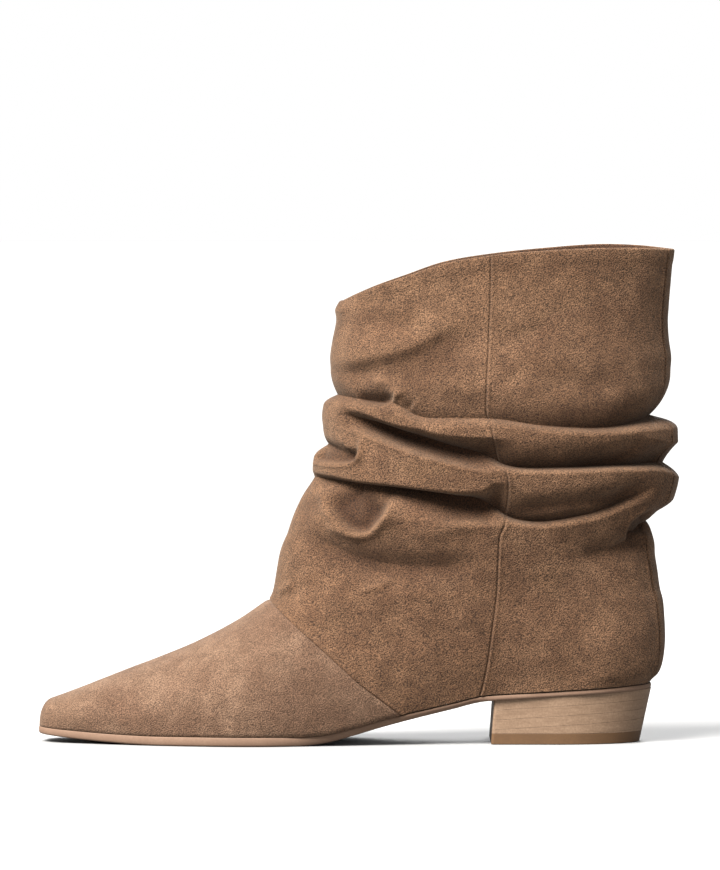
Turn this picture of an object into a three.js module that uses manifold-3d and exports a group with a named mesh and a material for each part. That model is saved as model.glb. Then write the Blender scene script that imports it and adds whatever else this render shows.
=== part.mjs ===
// A slouch ankle boot for the left foot, in suede: a soft shaft that has settled into rolls over the ankle, a plain
// vamp with a narrow squared toe, a thin leather outsole and a low heel of stacked leather lifts.
// Millimetres. +X points to the toe, +Y to the outer side of the foot and +Z up. The origin is on the floor, under the
// middle of the heel.

import * as THREE from "three";
import { mergeVertices } from "three/addons/utils/BufferGeometryUtils.js";
import Module from "manifold-3d";

// Driving dimensions of the foot
const footLength = 275.8;
const ballWidth = 82;
const throatHeight = 62;
const toeRounding = 5;
const noseLength = 14;
const wall = 2;
const vampStep = 0.8;
const vampStepRun = 8;
const vampSeamRun = 62;

// Driving dimensions of the shaft
const collarHeight = 217.8;
const collarDrop = 21.8;
const shaftDepth = 149;
const shaftWidth = 86;
const shaftCentre = 27;
const foldDepth = 10;
const foldReach = 12;
const foldSharpness = 1.6;

// Forms of the rounded ends and sides, as powers of a superellipse: 2 is round and more is squarer
const toeRoundness = 2.3;
const noseRoundness = 3.2;
const heelRoundness = 2.3;
const shaftRoundness = 2.1;
const blendRoundness = 4;

// Driving dimensions of the sole and the heel
const toeSpring = 3.4;
const springCurve = 1.6;
const soleThickness = 3.8;
const soleMargin = 1;
const soleBevel = 0.8;
const treadStart = 116;
const treadLength = 62;
const heelHeight = 21.2;
const heelPitch = 3.5;
const heelBaseLength = 66;
const heelBaseWidth = 54;
const heelTopLength = 69.2;
const heelTopWidth = 57;
const heelBackSlant = 4.7;
const counterOverhang = 11.2;
const topLiftThickness = 4.7;
const liftThickness = 4.3;
const insoleThickness = 2.5;
const insoleClearance = 0.6;
const gap = 0.3;

// Fineness of the faceted surfaces
const ringPoints = 60;
const heelPoints = 32;
const outlineSamples = 90;
const turnWeight = 24;
const footLevels = 11;
const footLevelBias = 1.4;
const legLevels = [4, 4, 6, 6, 4, 3];
const legLevelEase = 0.7;

// Half-widths of the foot from its centre line, as shares of the ball's width, at shares of the foot's length from the
// back of the heel. Bulge is how far the side stands out over the sole, and roundness the form of the section.
const FOOTPRINT = [
  { along: 0.0, outer: 0.32, inner: 0.32, bulge: 0.03, roundness: 2.2 },
  { along: 0.1, outer: 0.355, inner: 0.35, bulge: 0.05, roundness: 2.2 },
  { along: 0.2, outer: 0.365, inner: 0.335, bulge: 0.07, roundness: 2.2 },
  { along: 0.32, outer: 0.365, inner: 0.305, bulge: 0.1, roundness: 2.1 },
  { along: 0.42, outer: 0.395, inner: 0.31, bulge: 0.09, roundness: 2.0 },
  { along: 0.54, outer: 0.455, inner: 0.375, bulge: 0.05, roundness: 2.0 },
  { along: 0.64, outer: 0.495, inner: 0.46, bulge: 0.03, roundness: 2.0 },
  { along: 0.71, outer: 0.48, inner: 0.495, bulge: 0.02, roundness: 2.1 },
  { along: 0.8, outer: 0.41, inner: 0.455, bulge: 0.02, roundness: 2.2 },
  { along: 0.88, outer: 0.315, inner: 0.365, bulge: 0.02, roundness: 2.4 },
  { along: 0.94, outer: 0.235, inner: 0.28, bulge: 0.02, roundness: 2.6 },
  { along: 1.0, outer: 0.15, inner: 0.185, bulge: 0.02, roundness: 2.8 },
];

// Height of the top line of the foot above the floor, as shares of the throat's height.
const TOP_LINE = [
  { along: 0.0, height: 1.19 },
  { along: 0.16, height: 1.26 },
  { along: 0.305, height: 1.32 },
  { along: 0.45, height: 1.29 },
  { along: 0.523, height: 1.226 },
  { along: 0.577, height: 1.13 },
  { along: 0.632, height: 1.0 },
  { along: 0.681, height: 0.856 },
  { along: 0.745, height: 0.7 },
  { along: 0.81, height: 0.582 },
  { along: 0.858, height: 0.5 },
  { along: 0.906, height: 0.416 },
  { along: 0.938, height: 0.36 },
  { along: 0.986, height: 0.284 },
  { along: 1.0, height: 0.27 },
];

// The shaft over the rolls: heights as shares of the collar's height, reach to the front and the back of the shaft's
// centre as shares of half its depth, and full width as a share of the shaft's width.
const SHAFT = [
  { height: 0.11, front: 1.1, back: 0.85, width: 0.14 },
  { height: 0.124, front: 1.18, back: 0.875, width: 0.22 },
  { height: 0.136, front: 1.23, back: 0.912, width: 0.29 },
  { height: 0.152, front: 1.28, back: 0.934, width: 0.39 },
  { height: 0.179, front: 1.34, back: 0.949, width: 0.52 },
  { height: 0.216, front: 1.375, back: 0.956, width: 0.64 },
  { height: 0.25, front: 1.388, back: 0.955, width: 0.73 },
  { height: 0.285, front: 1.384, back: 0.946, width: 0.785 },
  { height: 0.31, front: 1.366, back: 0.925, width: 0.815 },
  { height: 0.346, front: 1.35, back: 0.908, width: 0.85 },
  { height: 0.387, front: 1.33, back: 0.893, width: 0.88 },
  { height: 0.42, front: 1.297, back: 0.91, width: 0.905 },
  { height: 0.459, front: 1.248, back: 0.97, width: 0.937 },
  { height: 0.5, front: 1.188, back: 1.02, width: 0.968 },
  { height: 0.535, front: 1.142, back: 1.042, width: 0.987 },
  { height: 0.575, front: 1.128, back: 1.036, width: 1 },
  { height: 0.62, front: 1.1, back: 1.03, width: 1 },
  { height: 0.66, front: 1.082, back: 1.025, width: 0.987 },
  { height: 0.705, front: 1.052, back: 1, width: 0.962 },
  { height: 0.7475, front: 1.03, back: 0.99, width: 0.932 },
  { height: 0.778, front: 1.034, back: 0.992, width: 0.91 },
  { height: 0.813, front: 1.02, back: 0.978, width: 0.877 },
  { height: 0.85, front: 1, back: 0.974, width: 0.84 },
  { height: 0.875, front: 1, back: 0.979, width: 0.82 },
  { height: 0.9, front: 0.965, back: 0.984, width: 0.8 },
  { height: 1, front: 0.955, back: 1.008, width: 0.745 },
];

// How far the collar's edge lies below its height, as shares of the collar's drop, from the back of the shaft to its
// front.
const COLLAR = [
  { along: 0.0, outer: 0.02, inner: 0.02 },
  { along: 0.1, outer: 0.0, inner: -0.05 },
  { along: 0.22, outer: 0.0, inner: -0.07 },
  { along: 0.37, outer: 0.04, inner: 0.0 },
  { along: 0.54, outer: 0.135, inner: 0.12 },
  { along: 0.69, outer: 0.3, inner: 0.29 },
  { along: 0.81, outer: 0.57, inner: 0.56 },
  { along: 0.9, outer: 0.78, inner: 0.77 },
  { along: 1.0, outer: 1.06, inner: 1.06 },
];

// The troughs that run right round the shaft, from the top to the bottom. Turn is the place round the shaft in degrees:
// 0 in front, 90 on the outer side, 180 at the back and -90 on the inner side. Heights are shares of the collar's
// height, depths of the fold depth. Above and below are the reach of a trough's two sides, as shares of the fold reach:
// a short one gives a steep lip and a long one a soft slope.
const TROUGHS = [
  [
    { turn: -180, height: 0.664, depth: 1.25, above: 1.5, below: 0.5 },
    { turn: -150, height: 0.652, depth: 0.9, above: 1, below: 0.4 },
    { turn: -120, height: 0.633, depth: 0.55, above: 0.9, below: 0.35 },
    { turn: -90, height: 0.64, depth: 0.5, above: 0.9, below: 0.35 },
    { turn: -60, height: 0.668, depth: 0.55, above: 0.8, below: 0.35 },
    { turn: -30, height: 0.692, depth: 0.5, above: 0.6, below: 0.35 },
    { turn: 0, height: 0.703, depth: 0.5, above: 0.6, below: 0.4 },
    { turn: 30, height: 0.702, depth: 0.55, above: 0.55, below: 0.35 },
    { turn: 42, height: 0.693, depth: 0.6, above: 0.55, below: 0.3 },
    { turn: 52, height: 0.686, depth: 0.65, above: 0.6, below: 0.3 },
    { turn: 60, height: 0.675, depth: 0.6, above: 0.7, below: 0.3 },
    { turn: 66, height: 0.66, depth: 0.5, above: 0.8, below: 0.3 },
    { turn: 77, height: 0.657, depth: 0.5, above: 0.9, below: 0.3 },
    { turn: 90, height: 0.652, depth: 0.5, above: 1, below: 0.3 },
    { turn: 103, height: 0.638, depth: 0.55, above: 1, below: 0.3 },
    { turn: 124, height: 0.633, depth: 0.6, above: 1, below: 0.3 },
    { turn: 145, height: 0.648, depth: 0.85, above: 1, below: 0.35 },
    { turn: 160, height: 0.66, depth: 1.1, above: 1.2, below: 0.4 },
    { turn: 180, height: 0.664, depth: 1.25, above: 1.5, below: 0.5 },
  ],
  [
    { turn: -180, height: 0.575, depth: 0.5, above: 0.6, below: 0.5 },
    { turn: -157, height: 0.558, depth: 0.6, above: 0.8, below: 0.4 },
    { turn: -124, height: 0.555, depth: 0.6, above: 0.9, below: 0.3 },
    { turn: -90, height: 0.565, depth: 0.6, above: 0.8, below: 0.4 },
    { turn: -65, height: 0.6, depth: 0.6, above: 0.5, below: 0.7 },
    { turn: -45, height: 0.635, depth: 0.35, above: 0.4, below: 0.6 },
    { turn: -25, height: 0.65, depth: 0, above: 0.4, below: 0.5 },
    { turn: 0, height: 0.655, depth: 0, above: 0.4, below: 0.5 },
    { turn: 25, height: 0.66, depth: 0, above: 0.3, below: 0.6 },
    { turn: 36, height: 0.656, depth: 0.4, above: 0.3, below: 0.6 },
    { turn: 43, height: 0.643, depth: 0.6, above: 0.3, below: 0.7 },
    { turn: 51, height: 0.629, depth: 0.7, above: 0.3, below: 0.8 },
    { turn: 63, height: 0.606, depth: 0.8, above: 0.3, below: 0.85 },
    { turn: 74, height: 0.585, depth: 0.75, above: 0.4, below: 0.75 },
    { turn: 85, height: 0.571, depth: 0.7, above: 0.6, below: 0.6 },
    { turn: 97, height: 0.555, depth: 0.6, above: 0.8, below: 0.35 },
    { turn: 110, height: 0.551, depth: 0.6, above: 0.9, below: 0.3 },
    { turn: 124, height: 0.555, depth: 0.6, above: 0.9, below: 0.3 },
    { turn: 142, height: 0.56, depth: 0.6, above: 0.8, below: 0.35 },
    { turn: 157, height: 0.558, depth: 0.6, above: 0.7, below: 0.4 },
    { turn: 180, height: 0.575, depth: 0.5, above: 0.6, below: 0.5 },
  ],
  [
    { turn: -180, height: 0.52, depth: 0, above: 0.5, below: 0.4 },
    { turn: -165, height: 0.515, depth: 0.1, above: 0.6, below: 0.4 },
    { turn: -140, height: 0.495, depth: 0.45, above: 0.8, below: 0.3 },
    { turn: -120, height: 0.47, depth: 0.55, above: 1, below: 0.3 },
    { turn: -90, height: 0.46, depth: 0.55, above: 0.8, below: 0.5 },
    { turn: -60, height: 0.495, depth: 0.55, above: 0.4, below: 0.8 },
    { turn: -35, height: 0.52, depth: 0.35, above: 0.3, below: 1 },
    { turn: 0, height: 0.535, depth: 0.12, above: 0.3, below: 0.8 },
    { turn: 17, height: 0.534, depth: 0.35, above: 0.3, below: 1 },
    { turn: 30, height: 0.53, depth: 0.5, above: 0.3, below: 1.6 },
    { turn: 40, height: 0.525, depth: 0.6, above: 0.3, below: 1.9 },
    { turn: 52, height: 0.515, depth: 0.65, above: 0.3, below: 1.5 },
    { turn: 60, height: 0.504, depth: 0.65, above: 0.3, below: 0.9 },
    { turn: 69, height: 0.491, depth: 0.7, above: 0.3, below: 0.85 },
    { turn: 75, height: 0.479, depth: 0.7, above: 0.3, below: 0.8 },
    { turn: 83, height: 0.47, depth: 0.65, above: 0.4, below: 0.8 },
    { turn: 91, height: 0.462, depth: 0.6, above: 0.7, below: 0.6 },
    { turn: 97, height: 0.459, depth: 0.55, above: 1, below: 0.4 },
    { turn: 104, height: 0.463, depth: 0.55, above: 1.1, below: 0.3 },
    { turn: 120, height: 0.469, depth: 0.55, above: 1, below: 0.3 },
    { turn: 127, height: 0.476, depth: 0.55, above: 1, below: 0.3 },
    { turn: 135, height: 0.491, depth: 0.5, above: 0.8, below: 0.3 },
    { turn: 141, height: 0.504, depth: 0.4, above: 0.6, below: 0.3 },
    { turn: 149, height: 0.513, depth: 0.2, above: 0.5, below: 0.4 },
    { turn: 165, height: 0.52, depth: 0, above: 0.5, below: 0.4 },
    { turn: 180, height: 0.52, depth: 0, above: 0.5, below: 0.4 },
  ],
  [
    { turn: -180, height: 0.4536, depth: 0.95, above: 1.2, below: 0.5 },
    { turn: -160, height: 0.446, depth: 0.85, above: 1, below: 0.5 },
    { turn: -142, height: 0.415, depth: 0.4, above: 0.9, below: 0.7 },
    { turn: -125, height: 0.39, depth: 0, above: 0.9, below: 0.8 },
    { turn: -90, height: 0.37, depth: 0, above: 1.2, below: 1.2 },
    { turn: -50, height: 0.38, depth: 0.1, above: 1.5, below: 1.5 },
    { turn: 0, height: 0.42, depth: 0.1, above: 1.5, below: 1.5 },
    { turn: 25, height: 0.4, depth: 0.2, above: 1.8, below: 1.5 },
    { turn: 45, height: 0.372, depth: 0.25, above: 2, below: 1.5 },
    { turn: 62, height: 0.362, depth: 0.2, above: 1.8, below: 1.5 },
    { turn: 80, height: 0.36, depth: 0, above: 1.2, below: 1.2 },
    { turn: 105, height: 0.37, depth: 0, above: 1, below: 1 },
    { turn: 125, height: 0.39, depth: 0.15, above: 0.9, below: 0.8 },
    { turn: 135, height: 0.41, depth: 0.35, above: 0.9, below: 0.7 },
    { turn: 148, height: 0.436, depth: 0.75, above: 1, below: 0.6 },
    { turn: 160, height: 0.446, depth: 0.9, above: 1.1, below: 0.5 },
    { turn: 180, height: 0.4536, depth: 0.95, above: 1.2, below: 0.5 },
  ],
];

// The short trough across the front, between two of the long ones
const FRONT_TROUGH = [
  { turn: -48, height: 0.575, depth: 0, above: 0.45, below: 0.45 },
  { turn: -25, height: 0.588, depth: 0.35, above: 0.45, below: 0.45 },
  { turn: 0, height: 0.598, depth: 0.4, above: 0.5, below: 0.5 },
  { turn: 25, height: 0.59, depth: 0.45, above: 0.45, below: 0.45 },
  { turn: 38, height: 0.584, depth: 0.55, above: 0.4, below: 0.45 },
  { turn: 44, height: 0.58, depth: 0.3, above: 0.4, below: 0.45 },
  { turn: 49, height: 0.576, depth: 0, above: 0.4, below: 0.45 },
];

// The seam where the vamp ends, from the throat down to the sole: distance behind the throat as a share of the seam's
// run along the foot, and height as a share of the throat's height.
const VAMP_SEAM = [
  { height: 0.0, behind: 1.08 },
  { height: 0.16, behind: 0.98 },
  { height: 0.26, behind: 0.86 },
  { height: 0.42, behind: 0.65 },
  { height: 0.6, behind: 0.45 },
  { height: 0.82, behind: 0.2 },
  { height: 1.0, behind: 0.0 },
];

// Height of the sole's lower face in the waist, as shares of its height at the heel's breast, from there to the tread
const WAIST = [
  { along: 0.0, share: 1.0 },
  { along: 0.06, share: 0.975 },
  { along: 0.12, share: 0.92 },
  { along: 0.2, share: 0.825 },
  { along: 0.3, share: 0.718 },
  { along: 0.44, share: 0.568 },
  { along: 0.6, share: 0.385 },
  { along: 0.76, share: 0.185 },
  { along: 0.88, share: 0.06 },
  { along: 1.0, share: 0.0 },
];

// Thickness of the outsole along the foot, as shares of its thickness under the ball.
const SOLE_THICKNESS = [
  { along: 0.0, share: 0.55 },
  { along: 0.27, share: 0.6 },
  { along: 0.4, share: 0.72 },
  { along: 0.56, share: 0.95 },
  { along: 0.62, share: 1.0 },
  { along: 0.82, share: 1.0 },
  { along: 1.0, share: 0.8 },
];

// Interpolation and small sums
const clamp = THREE.MathUtils.clamp;
const lerp = THREE.MathUtils.lerp;
const radians = THREE.MathUtils.degToRad;

// A smooth function through the rows of a table, from one named column to another.
function through(rows, from, to) {
  const slope = (i) => {
    const before = rows[Math.max(i - 1, 0)];
    const after = rows[Math.min(i + 1, rows.length - 1)];
    return (after[to] - before[to]) / (after[from] - before[from]);
  };
  return (value) => {
    const x = clamp(value, rows[0][from], rows.at(-1)[from]);
    const i = Math.max(
      rows.findIndex((row) => x <= row[from]) - 1,
      0,
    );
    const [a, b] = [rows[i], rows[i + 1]];
    const run = b[from] - a[from];
    const t = (x - a[from]) / run;
    const start = a[to] * (1 + 2 * t) * (1 - t) ** 2 + slope(i) * run * t * (1 - t) ** 2;
    const end = b[to] * t * t * (3 - 2 * t) + slope(i + 1) * run * t * t * (t - 1);
    return start + end;
  };
}

// The place between low and high where a falling function crosses zero.
function crossing(f, low, high) {
  for (let i = 0; i < 40; i++) {
    const middle = (low + high) / 2;
    if (f(middle) > 0) low = middle;
    else high = middle;
  }
  return (low + high) / 2;
}

// A superellipse's half-width at a share of its half-length.
function roundOff(share, power) {
  return Math.max(0, 1 - clamp(share, 0, 1) ** power) ** (1 / power);
}

// Places along the foot
const footBack = -(heelBaseLength / 2 + counterOverhang);
const toeTip = footBack + footLength;
const heelBreast = -heelBaseLength / 2 - heelBackSlant + heelTopLength;
const seatBack = -heelBaseLength / 2 - heelBackSlant;
const treadEnd = treadStart + treadLength;
const seatSlope = Math.tan(radians(heelPitch));
const alongFoot = (x) => (x - footBack) / footLength;

// Lines of the sole's bottom and top, and of the upper's lower edge
const soleShare = through(SOLE_THICKNESS, "along", "share");
const seatLine = (x) => heelHeight - seatSlope * x;
const waistShare = through(WAIST, "along", "share");

function soleBottom(x) {
  if (x <= heelBreast) return seatLine(x);
  const waist = (x - heelBreast) / (treadStart - heelBreast);
  if (waist < 1) return seatLine(heelBreast) * waistShare(waist);
  return toeSpring * clamp((x - treadEnd) / (toeTip - treadEnd), 0, 1) ** springCurve;
}

const soleTop = (x) => soleBottom(x) + soleThickness * soleShare(alongFoot(x));
const feather = (x) => soleTop(x) + gap;

// The form of the foot: a half-width for each place along it and each height
const outline = { 1: through(FOOTPRINT, "along", "outer"), "-1": through(FOOTPRINT, "along", "inner") };
const bulge = through(FOOTPRINT, "along", "bulge");
const roundness = through(FOOTPRINT, "along", "roundness");
const topLine = through(TOP_LINE, "along", "height");
const backRounding = 0.12;
const bulgeEnd = 0.7;

function footTop(x) {
  const low = feather(x);
  const tip = clamp((x - (toeTip - toeRounding)) / toeRounding, 0, 1);
  return low + (topLine(alongFoot(x)) * throatHeight - low) * roundOff(tip, toeRoundness);
}

function footprint(x, back, side) {
  const along = clamp((x - back) / (toeTip - back), 0, 1);
  const nose = clamp((x - (toeTip - noseLength)) / noseLength, 0, 1);
  const heel = clamp(1 - along / backRounding, 0, 1);
  return ballWidth * outline[side](along) * roundOff(nose, noseRoundness) * roundOff(heel, heelRoundness);
}

function footHalfWidth(x, z, side) {
  const low = feather(x);
  const share = clamp((z - low) / (footTop(x) - low), 0, 1);
  const along = alongFoot(x);
  const swell = 1 + bulge(along) * Math.sin(Math.PI * Math.min(share / bulgeEnd, 1));
  return footprint(x, shaftBack(z), side) * swell * roundOff(share, roundness(along));
}

// The form of the shaft, level by level
const shaftReach = (column, height) =>
  (through(SHAFT, "height", column)(height / collarHeight) * shaftDepth) / 2;
const shaftFront = (z) => shaftCentre + shaftReach("front", z);
const shaftBack = (z) => shaftCentre - shaftReach("back", z);
const shaftHalf = (z) => (through(SHAFT, "height", "width")(z / collarHeight) * shaftWidth) / 2;

function shaftHalfWidth(x, z) {
  const [front, back] = [shaftFront(z), shaftBack(z)];
  const share = Math.abs(2 * x - front - back) / (front - back);
  return shaftHalf(z) * roundOff(share, shaftRoundness);
}

// Foot and shaft flow into each other on the sides.
function halfWidth(x, z, side) {
  const foot = footHalfWidth(x, z, side) ** blendRoundness;
  return (foot + shaftHalfWidth(x, z) ** blendRoundness) ** (1 / blendRoundness);
}

// Place round the shaft in degrees, from a place along the foot and a side
const rollsCentre = shaftCentre + 0.02 * shaftDepth;
const rollsHalf = 0.55 * shaftDepth;

function turnAt(x, side) {
  return side * THREE.MathUtils.radToDeg(Math.acos(clamp((x - rollsCentre) / rollsHalf, -1, 1)));
}

// The folds, with their tables turned into functions of the place round the shaft
function foldFrom(rows) {
  return {
    start: rows[0].turn,
    end: rows.at(-1).turn,
    height: through(rows, "turn", "height"),
    depth: through(rows, "turn", "depth"),
    above: through(rows, "turn", "above"),
    below: through(rows, "turn", "below"),
  };
}

const troughs = TROUGHS.map(foldFrom);
const folds = [...troughs, foldFrom(FRONT_TROUGH)];

// Levels round the upper, from its lower edge to the collar, each a height at a place along the foot. Some run along
// the bottoms of the troughs, and the others lie between these.
const smoothHeight = 0.8 * collarHeight;

function levels() {
  const list = [];
  for (let i = 0; i <= footLevels; i++) {
    const share = (i / footLevels) ** footLevelBias;
    list.push((x) => lerp(feather(x), throatHeight, share));
  }
  const alongTrough = (trough) => (x, side) => trough.height(turnAt(x, side)) * collarHeight;
  const guides = [
    () => throatHeight,
    ...troughs.map(alongTrough).reverse(),
    () => smoothHeight,
    collarEdge,
  ];
  legLevels.forEach((count, g) => {
    for (let i = 1; i <= count; i++) {
      const even = i / count;
      const share = lerp(even, (1 - Math.cos(Math.PI * even)) / 2, legLevelEase);
      list.push((x, side) => lerp(guides[g](x, side), guides[g + 1](x, side), share));
    }
  });
  return list;
}

function collarEdge(x, side) {
  const [front, back] = [shaftFront(collarHeight - collarDrop), shaftBack(collarHeight)];
  const drop = through(COLLAR, "along", side > 0 ? "outer" : "inner");
  return collarHeight - collarDrop * drop(clamp((x - back) / (front - back), 0, 1));
}

// Points of a level's outer side, from its back to its front, close together
function sideOf(level) {
  const inside = (x) => {
    const z = level(x, 1);
    return Math.max(footTop(x) - z, x < shaftFront(z) ? 1 : -1);
  };
  const front = crossing(inside, shaftCentre, toeTip + gap);
  const back = crossing((x) => x - shaftBack(level(x, 1)), shaftCentre, footBack - counterOverhang);
  return Array.from({ length: outlineSamples + 1 }, (_, i) => {
    const x = lerp(back, front, (1 - Math.cos((Math.PI * i) / outlineSamples)) / 2);
    const z = level(x, 1);
    return new THREE.Vector3(x, i % outlineSamples ? halfWidth(x, z, 1) : 0, z);
  });
}

// Even steps along a line of points, closer where the line turns
function evenly(points, steps) {
  const measure = [0];
  for (let i = 1; i < points.length; i++) {
    const step = points[i].clone().sub(points[i - 1]);
    const last = i > 1 ? points[i - 1].clone().sub(points[i - 2]) : step;
    measure.push(measure[i - 1] + step.length() + turnWeight * (step.angleTo(last) || 0));
  }
  return Array.from({ length: steps + 1 }, (_, k) => {
    const goal = (measure.at(-1) * k) / steps;
    const i = clamp(measure.findLastIndex((m) => m < goal) + 1, 1, points.length - 1);
    const span = measure[i] - measure[i - 1];
    return points[i - 1].clone().lerp(points[i], (goal - measure[i - 1]) / span);
  });
}

// A closed ring round a level, with its points on both sides at the same places along the foot
function ringAt(level) {
  const outer = evenly(sideOf(level), ringPoints / 2);
  const inner = outer.slice(1, -1).map(({ x }) => {
    const z = level(x, -1);
    return new THREE.Vector3(x, -halfWidth(x, z, -1), z);
  });
  return [...outer, ...inner.reverse()];
}

// Depth of the folds and the step of the vamp at a place on the shaft
const seamBehind = through(VAMP_SEAM, "height", "behind");
const throat = shaftFront(throatHeight);

function foldsAt(turn, z) {
  let depth = 0;
  for (const fold of folds) {
    if (turn < fold.start || turn > fold.end) continue;
    const away = z - fold.height(turn) * collarHeight;
    const reach = foldReach * (away > 0 ? fold.above(turn) : fold.below(turn));
    const share = Math.max(1 - Math.abs(away) / reach, 0);
    depth = Math.max(depth, foldDepth * fold.depth(turn) * share ** foldSharpness);
  }
  return depth;
}

function stepAt(point) {
  if (point.z > throatHeight) return 0;
  const ahead = point.x - (throat - vampSeamRun * seamBehind(point.z / throatHeight));
  return vampStep * THREE.MathUtils.smoothstep(-ahead, -vampStepRun / 2, vampStepRun / 2);
}

// A ring with the folds pressed in and the step raised, along the ring's level normals
function folded(ring) {
  const count = ring.length;
  return ring.map((p, k) => {
    const along = ring[(k + 1) % count].clone().sub(ring[(k + count - 1) % count]);
    const out = new THREE.Vector3(-along.y, along.x, 0).normalize();
    const depth = foldsAt(turnAt(p.x, p.y < 0 ? -1 : 1), p.z);
    return p.clone().addScaledVector(out, stepAt(p) - depth);
  });
}

// Normals of a surface of rings, pointing out
function normalsOf(rings) {
  const count = rings[0].length;
  return rings.map((ring, i) =>
    ring.map((_, k) => {
      const along = ring[(k + 1) % count].clone().sub(ring[(k + count - 1) % count]);
      const up = rings[Math.min(i + 1, rings.length - 1)][k].clone().sub(rings[Math.max(i - 1, 0)][k]);
      return up.cross(along).normalize();
    }),
  );
}

// Closed meshes from rings of points
function geometryOf(points, triangles) {
  const geometry = new THREE.BufferGeometry();
  geometry.setAttribute("position", new THREE.Float32BufferAttribute(points.flatMap((p) => p.toArray()), 3));
  geometry.setIndex(triangles);
  geometry.computeVertexNormals();
  return geometry;
}

// Quads between neighbouring rings, each split along its shorter diagonal; wrapped round for a tube with a wall
function bands(rings, wrapped) {
  const count = rings[0].length;
  const triangles = [];
  for (let i = 0; i < rings.length - (wrapped ? 0 : 1); i++) {
    const above = (i + 1) % rings.length;
    const [low, high] = [i * count, above * count];
    for (let k = 0; k < count; k++) {
      const next = (k + 1) % count;
      const rising = rings[i][k].distanceTo(rings[above][next]);
      const falling = rings[i][next].distanceTo(rings[above][k]);
      if (rising < falling) triangles.push(low + k, high + k, high + next, low + k, high + next, low + next);
      else triangles.push(low + k, high + k, low + next, low + next, high + k, high + next);
    }
  }
  return triangles;
}

// A cap across a ring, from each point to its partner on the other side
function cap(count, start, facing) {
  const triangles = [];
  const add = (a, b, c) => triangles.push(...(facing > 0 ? [a, c, b] : [a, b, c]).map((i) => start + i));
  for (let k = 0; k < count / 2; k++) {
    const [left, right] = [count - k, count - k - 1];
    if (k > 0) add(k, k + 1, left % count);
    if (k + 1 < count / 2) add(k + 1, right, left % count);
  }
  return triangles;
}

function solidOfRings(rings) {
  const count = rings[0].length;
  const last = (rings.length - 1) * count;
  const triangles = [...bands(rings, false), ...cap(count, 0, -1), ...cap(count, last, 1)];
  return geometryOf(rings.flat(), triangles);
}

// The upper: foot and shaft in one wall, open at the collar and over the outsole
function upperGeometry() {
  const outside = levels().map((level) => folded(ringAt(level)));
  const normals = normalsOf(outside);
  const inside = outside.map((ring, i) =>
    ring.map((p, k) => {
      const inward = normals[i][k].clone();
      if (i === 0) inward.setZ(0).normalize();
      return p.clone().addScaledVector(inward, -wall);
    }),
  );
  const rings = [...outside, ...inside.reverse()];
  return geometryOf(rings.flat(), bands(rings, true));
}

// A ring moved out along its level normals, at heights given by a line
function offsetRing(ring, distance, height) {
  const count = ring.length;
  return ring.map((p, k) => {
    const along = ring[(k + 1) % count].clone().sub(ring[(k + count - 1) % count]);
    const out = new THREE.Vector3(-along.y, along.x, 0).normalize();
    const moved = p.clone().addScaledVector(out, distance);
    return moved.setZ(height(moved.x));
  });
}

// The outsole: flat under the ball, raised at the toe, with a bevelled lower edge
function outsoleGeometry() {
  const edge = ringAt(feather);
  const rings = [
    offsetRing(edge, soleMargin - soleBevel, soleBottom),
    offsetRing(edge, soleMargin, (x) => soleBottom(x) + soleBevel),
    offsetRing(edge, soleMargin, soleTop),
  ];
  return solidOfRings(rings);
}

// The insole: a sock inside the upper's wall, on the outsole
function insoleGeometry() {
  const edge = ringAt(feather);
  const inset = -(wall + insoleClearance);
  const rings = [
    offsetRing(edge, inset, (x) => soleTop(x) + gap),
    offsetRing(edge, inset, (x) => soleTop(x) + gap + insoleThickness),
  ];
  return solidOfRings(rings);
}

// Outline of the heel at a height: straight across the breast and round at the back
const heelStraight = 0.08 * heelBaseLength;
const heelSquareness = 0.9;
const breastNarrowing = 0.985;

function heelRing(z) {
  const share = z / heelHeight;
  const back = -heelBaseLength / 2 - heelBackSlant * share;
  const breast = lerp(heelBaseLength / 2, heelBreast, share);
  const half = lerp(heelBaseWidth, heelTopWidth, share) / 2;
  const side = (sign) => {
    const steps = heelPoints / 2 - 1;
    const arc = Array.from({ length: steps }, (_, i) => {
      const angle = (Math.PI / 2) * (i / (steps - 1));
      const x = lerp(heelStraight, back, Math.cos(angle) ** heelSquareness);
      return new THREE.Vector3(x, sign * half * Math.sin(angle) ** heelSquareness, z);
    });
    return [...arc, new THREE.Vector3(breast, sign * half * breastNarrowing, z)];
  };
  const front = new THREE.Vector3(breast, 0, z);
  return [...side(1), front, ...side(-1).slice(1).reverse()];
}

// The heel is a block cut into lifts by planes that lie parallel to the seat.
const wasm = await Module();
wasm.setup();

function toSolid(geometry) {
  const bare = new THREE.BufferGeometry();
  bare.setAttribute("position", geometry.getAttribute("position"));
  bare.setIndex(geometry.getIndex());
  const merged = mergeVertices(bare, 1e-4);
  return new wasm.Manifold(
    new wasm.Mesh({
      numProp: 3,
      vertProperties: merged.getAttribute("position").array,
      triVerts: new Uint32Array(merged.getIndex().array),
    }),
  );
}

function fromSolid(solid) {
  const mesh = solid.getMesh();
  const geometry = new THREE.BufferGeometry();
  geometry.setAttribute("position", new THREE.BufferAttribute(mesh.vertProperties, 3));
  geometry.setIndex(new THREE.BufferAttribute(mesh.triVerts, 1));
  geometry.computeVertexNormals();
  return geometry;
}

const seatPeak = seatLine(seatBack);
const liftCount = Math.ceil((seatPeak - topLiftThickness) / liftThickness);

function liftGeometries() {
  const block = toSolid(solidOfRings([heelRing(topLiftThickness), heelRing(seatPeak)]));
  return Array.from({ length: liftCount }, (_, i) => {
    const slab = new THREE.BoxGeometry(2 * heelTopLength, 2 * heelTopWidth, liftThickness - gap);
    slab.rotateY(radians(heelPitch));
    slab.translate(0, 0, heelHeight - gap / 2 - liftThickness * (i + 0.5));
    return fromSolid(block.intersect(toSolid(slab)));
  });
}

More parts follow.
